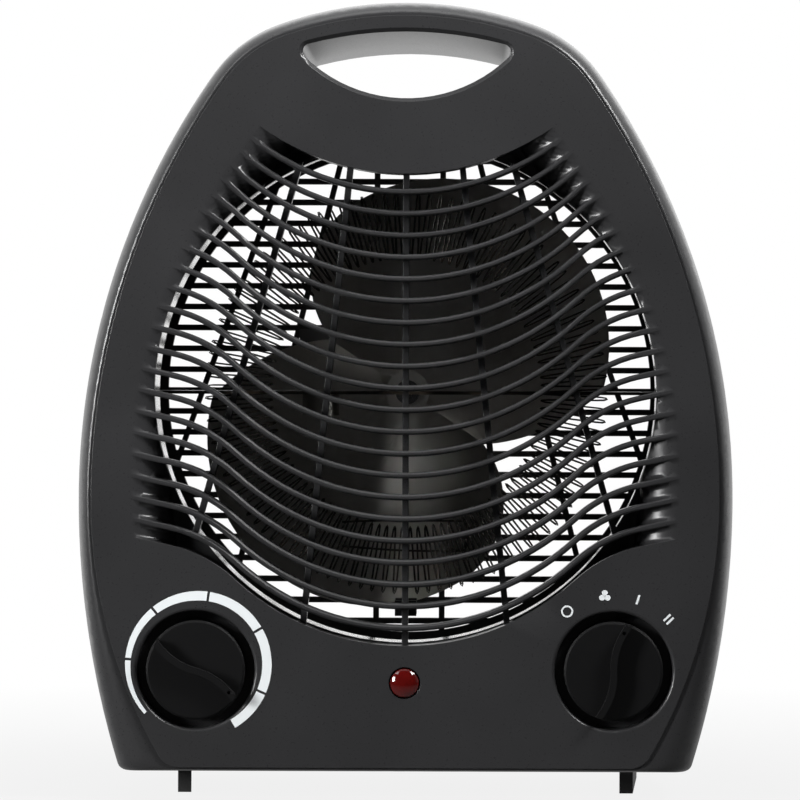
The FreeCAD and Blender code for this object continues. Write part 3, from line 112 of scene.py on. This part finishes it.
bpy.ops.object.select_all(action="DESELECT")
bpy.ops.mesh.primitive_plane_add(size=floor_size, location=(0.0, 0.0, -floor_drop))
floor = bpy.context.object
floor.name = "floor"
pale = bpy.data.materials.new("pale_floor")
pale.use_nodes = True
tree = pale.node_tree
matt = tree.nodes["Principled BSDF"]
matt.inputs["Base Color"].default_value = (floor_grey, floor_grey, floor_grey, 1.0)
matt.inputs["Roughness"].default_value = floor_rough
ray = tree.nodes.new("ShaderNodeLightPath").outputs
spot = tree.nodes.new("ShaderNodeTexCoord").outputs["Object"]
away = tree.nodes.new("ShaderNodeVectorMath")
away.operation = "LENGTH"
tree.links.new(spot, away.inputs[0])
near_to_far = ramp(tree, away.outputs["Value"], shadow_inner, shadow_outer, shadow_level)
front_to_back = ramp(tree, depth_of(tree, spot), floor_front, floor_back, dark_level)
seen = combine(tree, "MULTIPLY", ray["Is Camera Ray"], near_to_far)
mirrored = combine(tree, "MAXIMUM", ray["Is Glossy Ray"], ray["Is Transmission Ray"])
share = combine(tree, "MAXIMUM", mirrored, seen)
bright = combine(tree, "MAXIMUM", ray["Is Camera Ray"], front_to_back)
glow = tree.nodes.new("ShaderNodeEmission")
tree.links.new(bright, glow.inputs["Strength"])
blend = tree.nodes.new("ShaderNodeMixShader")
tree.links.new(share, blend.inputs[0])
tree.links.new(matt.outputs[0], blend.inputs[1])
tree.links.new(glow.outputs[0], blend.inputs[2])
tree.links.new(blend.outputs[0], tree.nodes["Material Output"].inputs[0])
floor.data.materials.append(pale)

# Lamps: soft boxes high on both sides, over the top and behind, at a plain level. The side box stands
# low and far to the left, so that its light passes the slats to the right part of the lower fan blade.
over_heater = (0.0, 0.0, 0.5)
outlet_centre = (0.0, 0.0, 0.16)
heater_centre = (0.0, 0.0, 0.13)
narrow = 60.0
wide = 120.0


def soft_box(name, place, aim, size, watts, spread):
    """A rectangular lamp that points at one spot, with its light kept within the spread in degrees."""
    lamp = bpy.data.lights.new(name, "AREA")
    lamp.shape = "RECTANGLE"
    lamp.size, lamp.size_y = size
    lamp.energy = watts
    lamp.spread = math.radians(spread)
    stand = bpy.data.objects.new(name, lamp)
    stand.location = place
    stand.rotation_euler = (Vector(aim) - Vector(place)).to_track_quat("-Z", "Y").to_euler()
    bpy.context.collection.objects.link(stand)


soft_box("left_box", (-0.6, -0.45, 0.95), over_heater, size=(0.4, 0.5), watts=0.45, spread=narrow)
soft_box("right_box", (0.6, -0.4, 0.9), over_heater, size=(0.4, 0.5), watts=3.8, spread=narrow)
soft_box("side_box", (-1.23, -0.8, 0.4), outlet_centre, size=(0.3, 0.5), watts=3.2, spread=narrow)
soft_box("top_box", (0.0, -0.2, 1.9), heater_centre, size=(1.4, 1.2), watts=4.5, spread=wide)
soft_box("back_box", (0.2, 1.8, 0.9), heater_centre, size=(1.6, 1.2), watts=2.5, spread=wide)

# Camera: level with the middle of the front and far off, with a long lens that keeps the sides upright.
# The shift puts the heater where it stands in the frame.
photo_width = 800
focal_pixels = 4679.0
eye_place = (0.019, -1.555, 0.143)
eye_roll = -0.0035
frame_shift = (-0.0811, -0.0544)
eye = bpy.data.cameras.new("eye")
eye.sensor_width = 36.0
eye.lens = focal_pixels * eye.sensor_width / photo_width
eye.shift_x, eye.shift_y = frame_shift
viewer = bpy.data.objects.new("viewer", eye)
viewer.location = eye_place
viewer.rotation_euler = (math.pi / 2, eye_roll, 0.0)
bpy.context.collection.objects.link(viewer)
bpy.context.scene.camera = viewer
bpy.context.scene.view_settings.view_transform = "Standard"

# Rear shell: injection-moulded black polypropylene with a fine spark-eroded skin and the inlet grille
# moulded in one with it. Its grain and slow drift of tone serve every moulded part that follows.
drift_scale = 22.0
drift_low = 0.3
drift_high = 0.7
grain_gloss = 0.16
edge_samples = 6
weld = 0.000002
flat_angle = 0.05
flat_weight = 100


def skin_group(name, inputs):
    """An empty shared skin with named inputs, which puts out a colour, a roughness and a height."""
    group = bpy.data.node_groups.new(name, "ShaderNodeTree")
    for label, kind in inputs:
        group.interface.new_socket(name=label, in_out="INPUT", socket_type=kind)
    for label, kind in (("Colour", "NodeSocketColor"), ("Rough", "NodeSocketFloat"),
                        ("Height", "NodeSocketFloat")):
        group.interface.new_socket(name=label, in_out="OUTPUT", socket_type=kind)
    return group


def mottle(tree, place, detail, scale=1.0):
    """A soft noise over the piece."""
    spots = tree.nodes.new("ShaderNodeTexNoise")
    spots.inputs["Scale"].default_value = scale
    spots.inputs["Detail"].default_value = detail
    tree.links.new(place, spots.inputs["Vector"])
    return spots


mould_skin = skin_group("mould_skin", (("Colour", "NodeSocketColor"), ("Rough", "NodeSocketFloat"),
                                       ("Grain", "NodeSocketFloat"), ("Drift", "NodeSocketFloat")))
wire = mould_skin.links.new
given = mould_skin.nodes.new("NodeGroupInput").outputs
result = mould_skin.nodes.new("NodeGroupOutput").inputs
spot = mould_skin.nodes.new("ShaderNodeTexCoord").outputs["Object"]
grain = mottle(mould_skin, spot, detail=3.0)
wire(given["Grain"], grain.inputs["Scale"])
drift = mottle(mould_skin, spot, detail=4.0, scale=drift_scale)
tone = ramp(mould_skin, drift.outputs["Fac"], drift_low, drift_high)
shade = mould_skin.nodes.new("ShaderNodeMix")
shade.data_type = "RGBA"
shade.blend_type = "MULTIPLY"
shade.inputs["Factor"].default_value = 1.0
wire(given["Colour"], shade.inputs["A"])
wire(combine(mould_skin, "MULTIPLY_ADD", tone, given["Drift"], 1.0), shade.inputs["B"])
wire(shade.outputs["Result"], result["Colour"])
wire(combine(mould_skin, "MULTIPLY_ADD", grain.outputs["Fac"], grain_gloss, given["Rough"]),
     result["Rough"])
wire(grain.outputs["Fac"], result["Height"])


def skinned(name, group, depth, **values):
    """A material whose shared skin feeds its colour, its roughness and a fine bump."""
    finish = bpy.data.materials.new(name)
    finish.use_nodes = True
    tree = finish.node_tree
    shader = tree.nodes["Principled BSDF"]
    skin = tree.nodes.new("ShaderNodeGroup")
    skin.node_tree = group
    for label, value in values.items():
        skin.inputs[label].default_value = value
    bump = tree.nodes.new("ShaderNodeBump")
    bump.inputs["Distance"].default_value = depth
    tree.links.new(skin.outputs["Colour"], shader.inputs["Base Color"])
    tree.links.new(skin.outputs["Rough"], shader.inputs["Roughness"])
    tree.links.new(skin.outputs["Height"], bump.inputs["Height"])
    tree.links.new(bump.outputs[0], shader.inputs["Normal"])
    return finish, shader, bump


def moulded(name, colour, rough, grain=1500.0, depth=0.00004, drift=0.25, specular=0.4, edge=0.0):
    """A moulded plastic. An edge radius rounds its sharp corners in the shading."""
    finish, shader, bump = skinned(name, mould_skin, depth, Colour=(*colour, 1.0), Rough=rough,
                                   Grain=grain, Drift=drift)
    shader.inputs["Specular IOR Level"].default_value = specular
    if edge:
        rounding = finish.node_tree.nodes.new("ShaderNodeBevel")
        rounding.samples = edge_samples
        rounding.inputs["Radius"].default_value = edge
        finish.node_tree.links.new(rounding.outputs[0], bump.inputs["Normal"])
    return finish


def finished_copy(node, name, body, finish, crease=30.0):
    """A merged copy of a solid that stands for it, with its round faces shaded smooth."""
    copy = bpy.data.objects.new(name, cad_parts[node].data.copy())
    bpy.context.collection.objects.link(copy)
    bpy.ops.object.select_all(action="DESELECT")
    copy.select_set(True)
    bpy.context.view_layer.objects.active = copy
    bpy.ops.object.mode_set(mode="EDIT")
    bpy.ops.mesh.select_all(action="SELECT")
    bpy.ops.mesh.remove_doubles(threshold=weld)
    bpy.ops.mesh.dissolve_limited(angle_limit=math.radians(flat_angle))
    bpy.ops.object.mode_set(mode="OBJECT")
    bpy.ops.object.shade_smooth_by_angle(angle=math.radians(crease))
    flats = copy.modifiers.new("flats", "WEIGHTED_NORMAL")
    flats.weight = flat_weight
    flats.keep_sharp = True
    bpy.ops.object.modifier_apply(modifier="flats")
    copy.data.materials.clear()
    copy.data.materials.append(finish)
    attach(copy, body)
    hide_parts(node)


casing = moulded("casing_skin", (0.0208, 0.0208, 0.0217), 0.22, depth=0.00001, edge=0.0003)
finished_copy("rear_shell", "rear_moulding", "housing", casing)

# Feet: two slim skids of black plastic, coarser in the grain than the casing. Each has two pegs, pushed
# into holes in the casing floor.


def dress(finish, *solids):
    """Give solids that are shown as they are a finish."""
    for node in solids:
        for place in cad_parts[node].material_slots:
            place.material = finish


foot_skin = moulded("foot_skin", (0.02, 0.02, 0.02), 0.4, grain=900.0, drift=0.5)
dress(foot_skin, "left_foot", "right_foot")

# Lead inlet: a soft black rubber grommet set in the rear wall, and the nylon terminal block on the
# casing floor that the lead's three cores would be screwed into.
rubber = moulded("grommet_rubber", (0.012, 0.012, 0.012), 0.62, grain=2600.0, drift=0.35)
finished_copy("cord_bushing", "lead_grommet", "housing", rubber)
natural_nylon = moulded("natural_nylon", (0.6, 0.57, 0.5), 0.38, grain=700.0, depth=0.00002, drift=0.15)
dress(natural_nylon, "terminal_block")

# Motor iron: a stack of lacquered steel sheets with the rotor running in its bore. Rolling streaks,
# stains and a drifting gloss serve every metal part that follows.
stain_scale = 45.0
stain_start = 0.5
stain_full = 0.75
streak_gloss = 0.22
metal_skin = skin_group("metal_skin", (("Colour", "NodeSocketColor"), ("Stain", "NodeSocketColor"),
                                       ("Rough", "NodeSocketFloat"), ("Stretch", "NodeSocketVector")))
wire = metal_skin.links.new
given = metal_skin.nodes.new("NodeGroupInput").outputs
result = metal_skin.nodes.new("NodeGroupOutput").inputs
spot = metal_skin.nodes.new("ShaderNodeTexCoord").outputs["Object"]
pulled = metal_skin.nodes.new("ShaderNodeVectorMath")
pulled.operation = "MULTIPLY"
wire(spot, pulled.inputs[0])
wire(given["Stretch"], pulled.inputs[1])
streak = mottle(metal_skin, pulled.outputs[0], detail=4.0)
patch = mottle(metal_skin, spot, detail=5.0, scale=stain_scale)
tinted = metal_skin.nodes.new("ShaderNodeMix")
tinted.data_type = "RGBA"
wire(ramp(metal_skin, patch.outputs["Fac"], stain_start, stain_full), tinted.inputs["Factor"])
wire(given["Colour"], tinted.inputs["A"])
wire(given["Stain"], tinted.inputs["B"])
wire(tinted.outputs["Result"], result["Colour"])
wire(combine(metal_skin, "MULTIPLY_ADD", streak.outputs["Fac"], streak_gloss, given["Rough"]),
     result["Rough"])
wire(streak.outputs["Fac"], result["Height"])


def metal(name, colour, stain, rough, stretch, depth=0.00002, metallic=1.0):
    """A bare or plated metal, with streaks as fine along each axis as the stretch is large."""
    finish, shader, bump = skinned(name, metal_skin, depth, Colour=(*colour, 1.0), Stain=(*stain, 1.0),
                                   Rough=rough, Stretch=stretch)
    shader.inputs["Metallic"].default_value = metallic
    return finish


lacquered = metal("lacquered_sheets", (0.09, 0.09, 0.095), (0.05, 0.045, 0.04), 0.3,
                  stretch=(30.0, 2600.0, 30.0), depth=0.0002, metallic=0.7)
dress(lacquered, "motor_core", "motor_rotor")

# Coil: enamelled copper wire wound in tidy turns on a nylon bobbin, round the left leg of the core. One
# turn is a rectangle of wire with round corners, stacked from flange to flange.
turn_width = 0.00058
turn_corner = 0.005
corner_steps = 6
dress(natural_nylon, "motor_bobbin")
enamel = metal("copper_enamel", (0.5, 0.13, 0.05), (0.3, 0.07, 0.03), 0.18, stretch=(300.0, 300.0, 2200.0))
enamel.node_tree.nodes["Principled BSDF"].inputs["Coat Weight"].default_value = 0.6
low, high = (Vector(corner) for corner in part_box("motor_winding"))
bpy.ops.object.select_all(action="DESELECT")
bpy.ops.mesh.primitive_plane_add(size=1.0, location=((low.x + high.x) / 2, (low.y + high.y) / 2,
                                                     low.z + turn_width / 2))
coil = bpy.context.object
coil.name = "copper_coil"
coil.scale = (high.x - low.x - turn_width, high.y - low.y - turn_width, 1.0)
bpy.ops.object.transform_apply(location=True, rotation=True, scale=True)
bpy.ops.object.mode_set(mode="EDIT")
bpy.ops.mesh.bevel(offset=turn_corner, affect="VERTICES", segments=corner_steps)
bpy.ops.mesh.delete(type="ONLY_FACE")
bpy.ops.object.mode_set(mode="OBJECT")
bpy.ops.object.convert(target="CURVE")
coil.data.bevel_depth = turn_width / 2
coil.data.bevel_resolution = 1
bpy.ops.object.convert(target="MESH")
stack = coil.modifiers.new("turns", "ARRAY")
stack.count = int((high.z - low.z) / turn_width)
stack.use_relative_offset = False
stack.use_constant_offset = True
stack.constant_offset_displace = (0.0, 0.0, turn_width)
bpy.ops.object.modifier_apply(modifier="turns")
bpy.ops.object.shade_smooth()
coil.data.materials.clear()
coil.data.materials.append(enamel)
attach(coil, "housing")
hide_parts("motor_winding")

# Motor fittings: zinc-plated bridges, held by two long bolts, carry oil-soaked bronze bearings in front of
# and behind the rotor. The ground steel shaft runs in them.
zinc = metal("zinc_plate", (0.52, 0.52, 0.5), (0.42, 0.4, 0.34), 0.22, stretch=(240.0, 240.0, 240.0))
dress(zinc, "motor_front_bridge", "motor_rear_bridge", "motor_bolts")
oiled_bronze = metal("oiled_bronze", (0.42, 0.25, 0.1), (0.2, 0.12, 0.05), 0.35,
                     stretch=(900.0, 900.0, 900.0))
dress(oiled_bronze, "front_bearing", "rear_bearing")
ground_steel = metal("ground_steel", (0.56, 0.56, 0.57), (0.45, 0.45, 0.45), 0.12,
                     stretch=(60.0, 2400.0, 60.0))
dress(ground_steel, "motor_shaft")

# Fan: two broad blades of bright aluminium sheet on one hub, pushed on the shaft and held by a spring
# clip of bare steel.
fan_sheet = metal("fan_sheet", (0.96, 0.94, 0.9), (0.84, 0.8, 0.74), 0.36, stretch=(1400.0, 60.0, 60.0),
                  depth=0.000004)
finished_copy("fan", "fan_wheel", "fan_rotor", fan_sheet)
dress(ground_steel, "fan_clip")

# Duct: a rolled band of bright aluminised sheet round the element. Four ears are screwed to the front
# casing.
bright_sheet = metal("bright_sheet", (0.7, 0.7, 0.69), (0.6, 0.58, 0.54), 0.06, stretch=(40.0, 900.0, 40.0),
                     depth=0.000004)
finished_copy("heat_duct", "duct_band", "housing", bright_sheet)
dress(zinc, "duct_screws")

# Element frame: two slotted boards of pressed mica, set crosswise in the duct. Blued steel terminals at
# the foot of the upright board take the wire's ends, and a nickel-plated cut-out hangs under the level
# board.
# The mica's colour is its own dull brown, darkened almost to black with painted shade so that the boards
# stay as dark as the shaded inside of the heater.
shade_darkened_mica = moulded("pressed_mica_painted_shade", (0.022, 0.017, 0.012), 0.3, grain=420.0, depth=0.00003, drift=0.8)
dress(shade_darkened_mica, "mica_upright", "mica_level")
blued = metal("blued_steel", (0.05, 0.05, 0.055), (0.09, 0.06, 0.04), 0.25, stretch=(300.0, 300.0, 300.0))
dress(blued, "element_terminals")
nickel = metal("nickel_can", (0.48, 0.47, 0.44), (0.36, 0.34, 0.3), 0.2, stretch=(60.0, 60.0, 900.0))
dress(nickel, "thermal_cutout")

# Element: two rings of oxidised resistance wire folded in and out, over a hundred folds each, threaded
# through the mica boards. Each ring starts as a circle whose vertices are drawn in by pairs, and is open
# at the bottom.
oxide = metal("oxidised_wire", (0.07, 0.065, 0.06), (0.14, 0.1, 0.08), 0.4, stretch=(600.0, 600.0, 600.0),
              metallic=0.8)
folds = 110
fold_tip = 0.0655
fold_root = 0.044
fold_wire = 0.00026
least_strand = 0.01
strand_cuts = 3
shaft_low, shaft_high = (Vector(corner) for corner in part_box("motor_shaft"))
axis_height = (shaft_low.z + shaft_high.z) / 2
step = 2.0 * math.pi / (4 * folds)
bottom = (-folds - 1, -folds)
draw = fold_root / fold_tip
for node in ("element_front", "element_rear"):
    low, high = (Vector(corner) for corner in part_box(node))
    centre = (0.0, (low.y + high.y) / 2, axis_height)
    bpy.ops.object.select_all(action="DESELECT")
    bpy.ops.mesh.primitive_circle_add(vertices=4 * folds, radius=fold_tip, location=centre,
                                      rotation=(math.pi / 2, step / 2, 0.0))
    ring = bpy.context.object
    ring.name = node + "_wire"
    bpy.ops.object.transform_apply(location=True, rotation=True, scale=True)
    places = [round(math.atan2(v.co.z - axis_height, v.co.x) / step - 0.5) for v in ring.data.vertices]
    bpy.ops.object.mode_set(mode="EDIT")
    bpy.ops.mesh.select_mode(type="VERT")
    bpy.ops.mesh.select_all(action="DESELECT")
    bpy.ops.object.mode_set(mode="OBJECT")
    for v, at in zip(ring.data.vertices, places):
        v.select = (at - folds + 1) // 2 % 2 == 1
    bpy.ops.object.mode_set(mode="EDIT")
    bpy.ops.transform.resize(value=(draw, 1.0, draw), center_override=centre)
    bpy.ops.mesh.select_all(action="DESELECT")
    bpy.ops.object.mode_set(mode="OBJECT")
    for v, at in zip(ring.data.vertices, places):
        v.select = at in bottom
    bpy.ops.object.mode_set(mode="EDIT")
    bpy.ops.mesh.select_mode(type="EDGE")
    bpy.ops.mesh.delete(type="EDGE")
    bpy.ops.mesh.select_all(action="SELECT")
    bpy.ops.object.mode_set(mode="OBJECT")
    for edge in ring.data.edges:
        a, b = (ring.data.vertices[i].co for i in edge.vertices)
        edge.select = (a - b).length > least_strand
    bpy.ops.object.mode_set(mode="EDIT")
    bpy.ops.mesh.subdivide(number_cuts=strand_cuts)
    bpy.ops.object.mode_set(mode="OBJECT")
    bpy.ops.object.convert(target="CURVE")
    ring = bpy.context.object
    bpy.ops.object.mode_set(mode="EDIT")
    bpy.ops.curve.select_all(action="SELECT")
    bpy.ops.curve.spline_type_set(type="NURBS")
    bpy.ops.object.mode_set(mode="OBJECT")
    for spline in ring.data.splines:
        spline.order_u = 3
        spline.use_endpoint_u = True
        spline.resolution_u = 2
    ring.data.bevel_depth = fold_wire
    ring.data.bevel_resolution = 1
    ring.data.use_fill_caps = True
    bpy.ops.object.convert(target="MESH")
    bpy.ops.object.shade_smooth()
    ring.data.materials.clear()
    ring.data.materials.append(oxide)
    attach(ring, "housing")
    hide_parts(node)

# Element link: a bare hairpin of the same resistance wire, a little thicker, that stands behind the boards
# in front of the fan. Its two ends run forward to the rear ring.
link_wire = 0.00033
link_points = (
    (-0.021, -0.0186, 0.0885), (-0.012, -0.0125, 0.0888), (0.0, -0.0115, 0.0888),
    (0.0155, -0.0115, 0.0888), (0.0197, -0.0115, 0.0886), (0.0197, -0.0115, 0.0838),
    (0.0197, -0.0115, 0.079), (0.0155, -0.0115, 0.0788), (0.0, -0.0115, 0.0788),
    (-0.012, -0.0125, 0.0796), (-0.021, -0.0186, 0.0806))
bpy.ops.object.select_all(action="DESELECT")
bpy.ops.curve.primitive_nurbs_path_add(location=(0.0, 0.0, 0.0))
link = bpy.context.object
link.name = "element_link"
spline = link.data.splines[0]
spline.points.add(len(link_points) - len(spline.points))
for point, at in zip(spline.points, link_points):
    point.co = (*at, 1.0)
spline.order_u = 3
spline.use_endpoint_u = True
spline.resolution_u = 8
link.data.bevel_depth = link_wire
link.data.bevel_resolution = 2
link.data.use_fill_caps = True
bpy.ops.object.convert(target="MESH")
bpy.ops.object.shade_smooth()
link.data.materials.clear()
link.data.materials.append(oxide)
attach(link, "housing")

# Controls behind the panel: a thermostat and a rotary selector in brown phenolic bodies, with brass
# strips and tabs. Each hangs by a brass bush and a zinc-plated nut in the floor of its knob's well, and
# a nylon spindle through the bush carries the knob.
phenolic = moulded("phenolic", (0.05, 0.03, 0.022), 0.34, grain=800.0, drift=0.5, specular=0.5)
dress(phenolic, "thermostat_base", "selector_case")
brass = metal("bright_brass", (0.62, 0.43, 0.16), (0.4, 0.25, 0.1), 0.2, stretch=(500.0, 500.0, 500.0))
dress(brass, "thermostat_bush", "thermostat_strips", "selector_bush", "selector_tabs")
dress(zinc, "control_nuts")
dress(natural_nylon, "thermostat_spindle", "selector_spindle")

# Pilot lamp: a domed lens of polished red acrylic, pushed through the panel from behind until its flange
# stops it, with a nylon socket at its back.
lens_mottle = 320.0
dress(natural_nylon, "lamp_socket")
lens = bpy.data.materials.new("red_acrylic")
lens.use_nodes = True
tree = lens.node_tree
shader = tree.nodes["Principled BSDF"]
shader.inputs["Roughness"].default_value = 0.06
shader.inputs["IOR"].default_value = 1.49
shader.inputs["Coat Weight"].default_value = 0.4
spot = tree.nodes.new("ShaderNodeTexCoord").outputs["Object"]
reds = tree.nodes.new("ShaderNodeMix")
reds.data_type = "RGBA"
reds.inputs["A"].default_value = (0.045, 0.0013, 0.0013, 1.0)
reds.inputs["B"].default_value = (0.095, 0.0035, 0.0025, 1.0)
tree.links.new(mottle(tree, spot, detail=2.0, scale=lens_mottle).outputs["Fac"], reds.inputs["Factor"])
tree.links.new(reds.outputs["Result"], shader.inputs["Base Color"])
finished_copy("lamp_lens", "lamp_dome", "housing", lens, crease=40.0)

# Front shell: the same black polypropylene as the rear, with panel, dish, slats, ribs and knob wells in
# one moulding.
finished_copy("front_shell", "front_moulding", "housing", casing)

# Thermostat scale: white arcs, pad-printed on the panel round the left knob, that grow from thin to thick
# as the heat rises. Each arc is a flat strip bent round the centre of the scale.
ink = moulded("print_ink", (0.66, 0.69, 0.7), 0.42, grain=3000.0, depth=0.000008, drift=0.06,
              specular=0.3)
ink_stand = 0.00006
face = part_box("front_shell")[0].y
scale_centre = (-0.0661, 0.044)
scale_radius = 0.0235
scale_start = 222.7
scale_full = 95.0
scale_end = -59.7
scale_thin = 0.0011
scale_thick = 0.003
arc_steps = 16
gap_half = 1.05
gaps = (175.9, 129.6, 82.0, 30.1, -23.6)


def lay_ink(name, prints):
    """Join flat prints that lie on the panel into one film, half sunk in it, and fix it to the casing."""
    bpy.ops.object.select_all(action="DESELECT")
    for flat in prints:
        flat.select_set(True)
    bpy.context.view_layer.objects.active = prints[0]
    if len(prints) > 1:
        bpy.ops.object.join()
    sign = bpy.context.object
    sign.name = name
    bpy.ops.object.transform_apply(location=True, rotation=True, scale=True)
    film = sign.modifiers.new("film", "SOLIDIFY")
    film.thickness = 2 * ink_stand
    film.offset = 0.0
    bpy.ops.object.modifier_apply(modifier="film")
    sign.data.materials.append(ink)
    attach(sign, "housing")


limits = [scale_start]
for gap in gaps:
    limits += [gap + gap_half, gap - gap_half]
limits.append(scale_end)
arcs = []
for first, last in zip(limits[0::2], limits[1::2]):
    bpy.ops.object.select_all(action="DESELECT")
    bpy.ops.mesh.primitive_grid_add(x_subdivisions=arc_steps, y_subdivisions=1, size=2.0,
                                    location=(0.0, 0.0, 0.0))
    arc = bpy.context.object
    for v in arc.data.vertices:
        angle = first + (last - first) * (v.co.x + 1.0) / 2.0
        grown = min((scale_start - angle) / (scale_start - scale_full), 1.0)
        reach = scale_radius - (scale_thin + (scale_thick - scale_thin) * grown) * (1.0 - v.co.y) / 2.0
        turn = math.radians(angle)
        v.co = (scale_centre[0] + reach * math.cos(turn), face,
                scale_centre[1] + reach * math.sin(turn))
    arcs.append(arc)
lay_ink("thermostat_scale", arcs)

# Selector marks: white signs, pad-printed on the panel round the right knob. A ring stands for off, a
# three-blade fan for cool air, and one bar and two bars for the two heats.
mark_radius = 0.0243
off_angle = 127.9
fan_angle = 96.8
one_angle = 71.4
two_angle = 43.6
ring_radius = 0.00195
ring_line = 0.00055
ring_sides = 40
blade_reach = 0.00105
blade_radius = 0.00096
blade_squash = 0.92
blade_root = 0.52
blade_sides = 24
hub_radius = 0.00024
hub_sides = 16
bar_length = 0.0031
bar_width = 0.00068
bar_offset = 0.00072
upright = (math.pi / 2, 0.0, 0.0)
knob_low, knob_high = (Vector(corner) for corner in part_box("selector_knob"))
knob_centre = (knob_low + knob_high) / 2
knob_centre.y = face


def outward(angle):
    """The direction on the panel at an angle from the right, in degrees."""
    turn = math.radians(angle)
    return Vector((math.cos(turn), 0.0, math.sin(turn)))


def mark_place(angle):
    """The place on the panel of the mark at one angle round the knob."""
    return knob_centre + outward(angle) * mark_radius


bpy.ops.object.select_all(action="DESELECT")
bpy.ops.mesh.primitive_circle_add(vertices=ring_sides, radius=ring_radius, fill_type="NGON",
                                  location=mark_place(off_angle), rotation=upright)
bpy.ops.object.mode_set(mode="EDIT")
bpy.ops.mesh.inset(thickness=ring_line)
bpy.ops.mesh.delete(type="FACE")
bpy.ops.object.mode_set(mode="OBJECT")
lay_ink("mark_off", [bpy.context.object])

blades = []
fan_place = mark_place(fan_angle)
for third in range(3):
    off_centre = outward(90.0 + 120.0 * third) * blade_reach
    bpy.ops.object.select_all(action="DESELECT")
    bpy.ops.mesh.primitive_circle_add(vertices=blade_sides, radius=blade_radius, fill_type="NGON",
                                      location=fan_place + off_centre, rotation=upright)
    bpy.context.object.scale = (1.0, blade_squash, 1.0)
    bpy.ops.object.transform_apply(location=True, rotation=True, scale=True)
    bpy.ops.object.mode_set(mode="EDIT")
    bpy.ops.mesh.select_all(action="SELECT")
    bpy.ops.mesh.bisect(plane_co=fan_place + off_centre * blade_root, plane_no=off_centre,
                        clear_inner=True)
    bpy.ops.object.mode_set(mode="OBJECT")
    blades.append(bpy.context.object)
bpy.ops.object.select_all(action="DESELECT")
bpy.ops.mesh.primitive_circle_add(vertices=hub_sides, radius=hub_radius, fill_type="NGON",
                                  location=fan_place, rotation=upright)
bpy.ops.object.transform_apply(location=True, rotation=True, scale=True)
blades.append(bpy.context.object)
lay_ink("mark_fan", blades)

for name, angle, offsets in (("mark_one", one_angle, (0.0,)),
                             ("mark_two", two_angle, (-bar_offset, bar_offset))):
    bars = []
    for offset in offsets:
        across = outward(angle + 90.0) * offset
        bpy.ops.object.select_all(action="DESELECT")
        bpy.ops.mesh.primitive_plane_add(size=1.0, location=mark_place(angle) + across,
                                         rotation=(math.pi / 2, -math.radians(angle), 0.0))
        bpy.context.object.scale = (bar_length, bar_width, 1.0)
        bars.append(bpy.context.object)
    lay_ink(name, bars)

# Knobs: satin black mouldings with an S-shaped finger ridge and a pointer dot, pushed on the spindles
# until they sit in their wells.
knob_skin = moulded("knob_skin", (0.004, 0.004, 0.0042), 0.46, grain=2400.0, depth=0.000014, drift=0.2,
                    specular=0.1)
finished_copy("thermostat_knob", "thermostat_grip", "thermostat_dial", knob_skin)
finished_copy("selector_knob", "selector_grip", "selector_dial", knob_skin)

# Case screws: six zinc-plated thread-forming screws, driven from the rear through posts in the rear shell
# into those of the front shell.
dress(zinc, "case_screws")
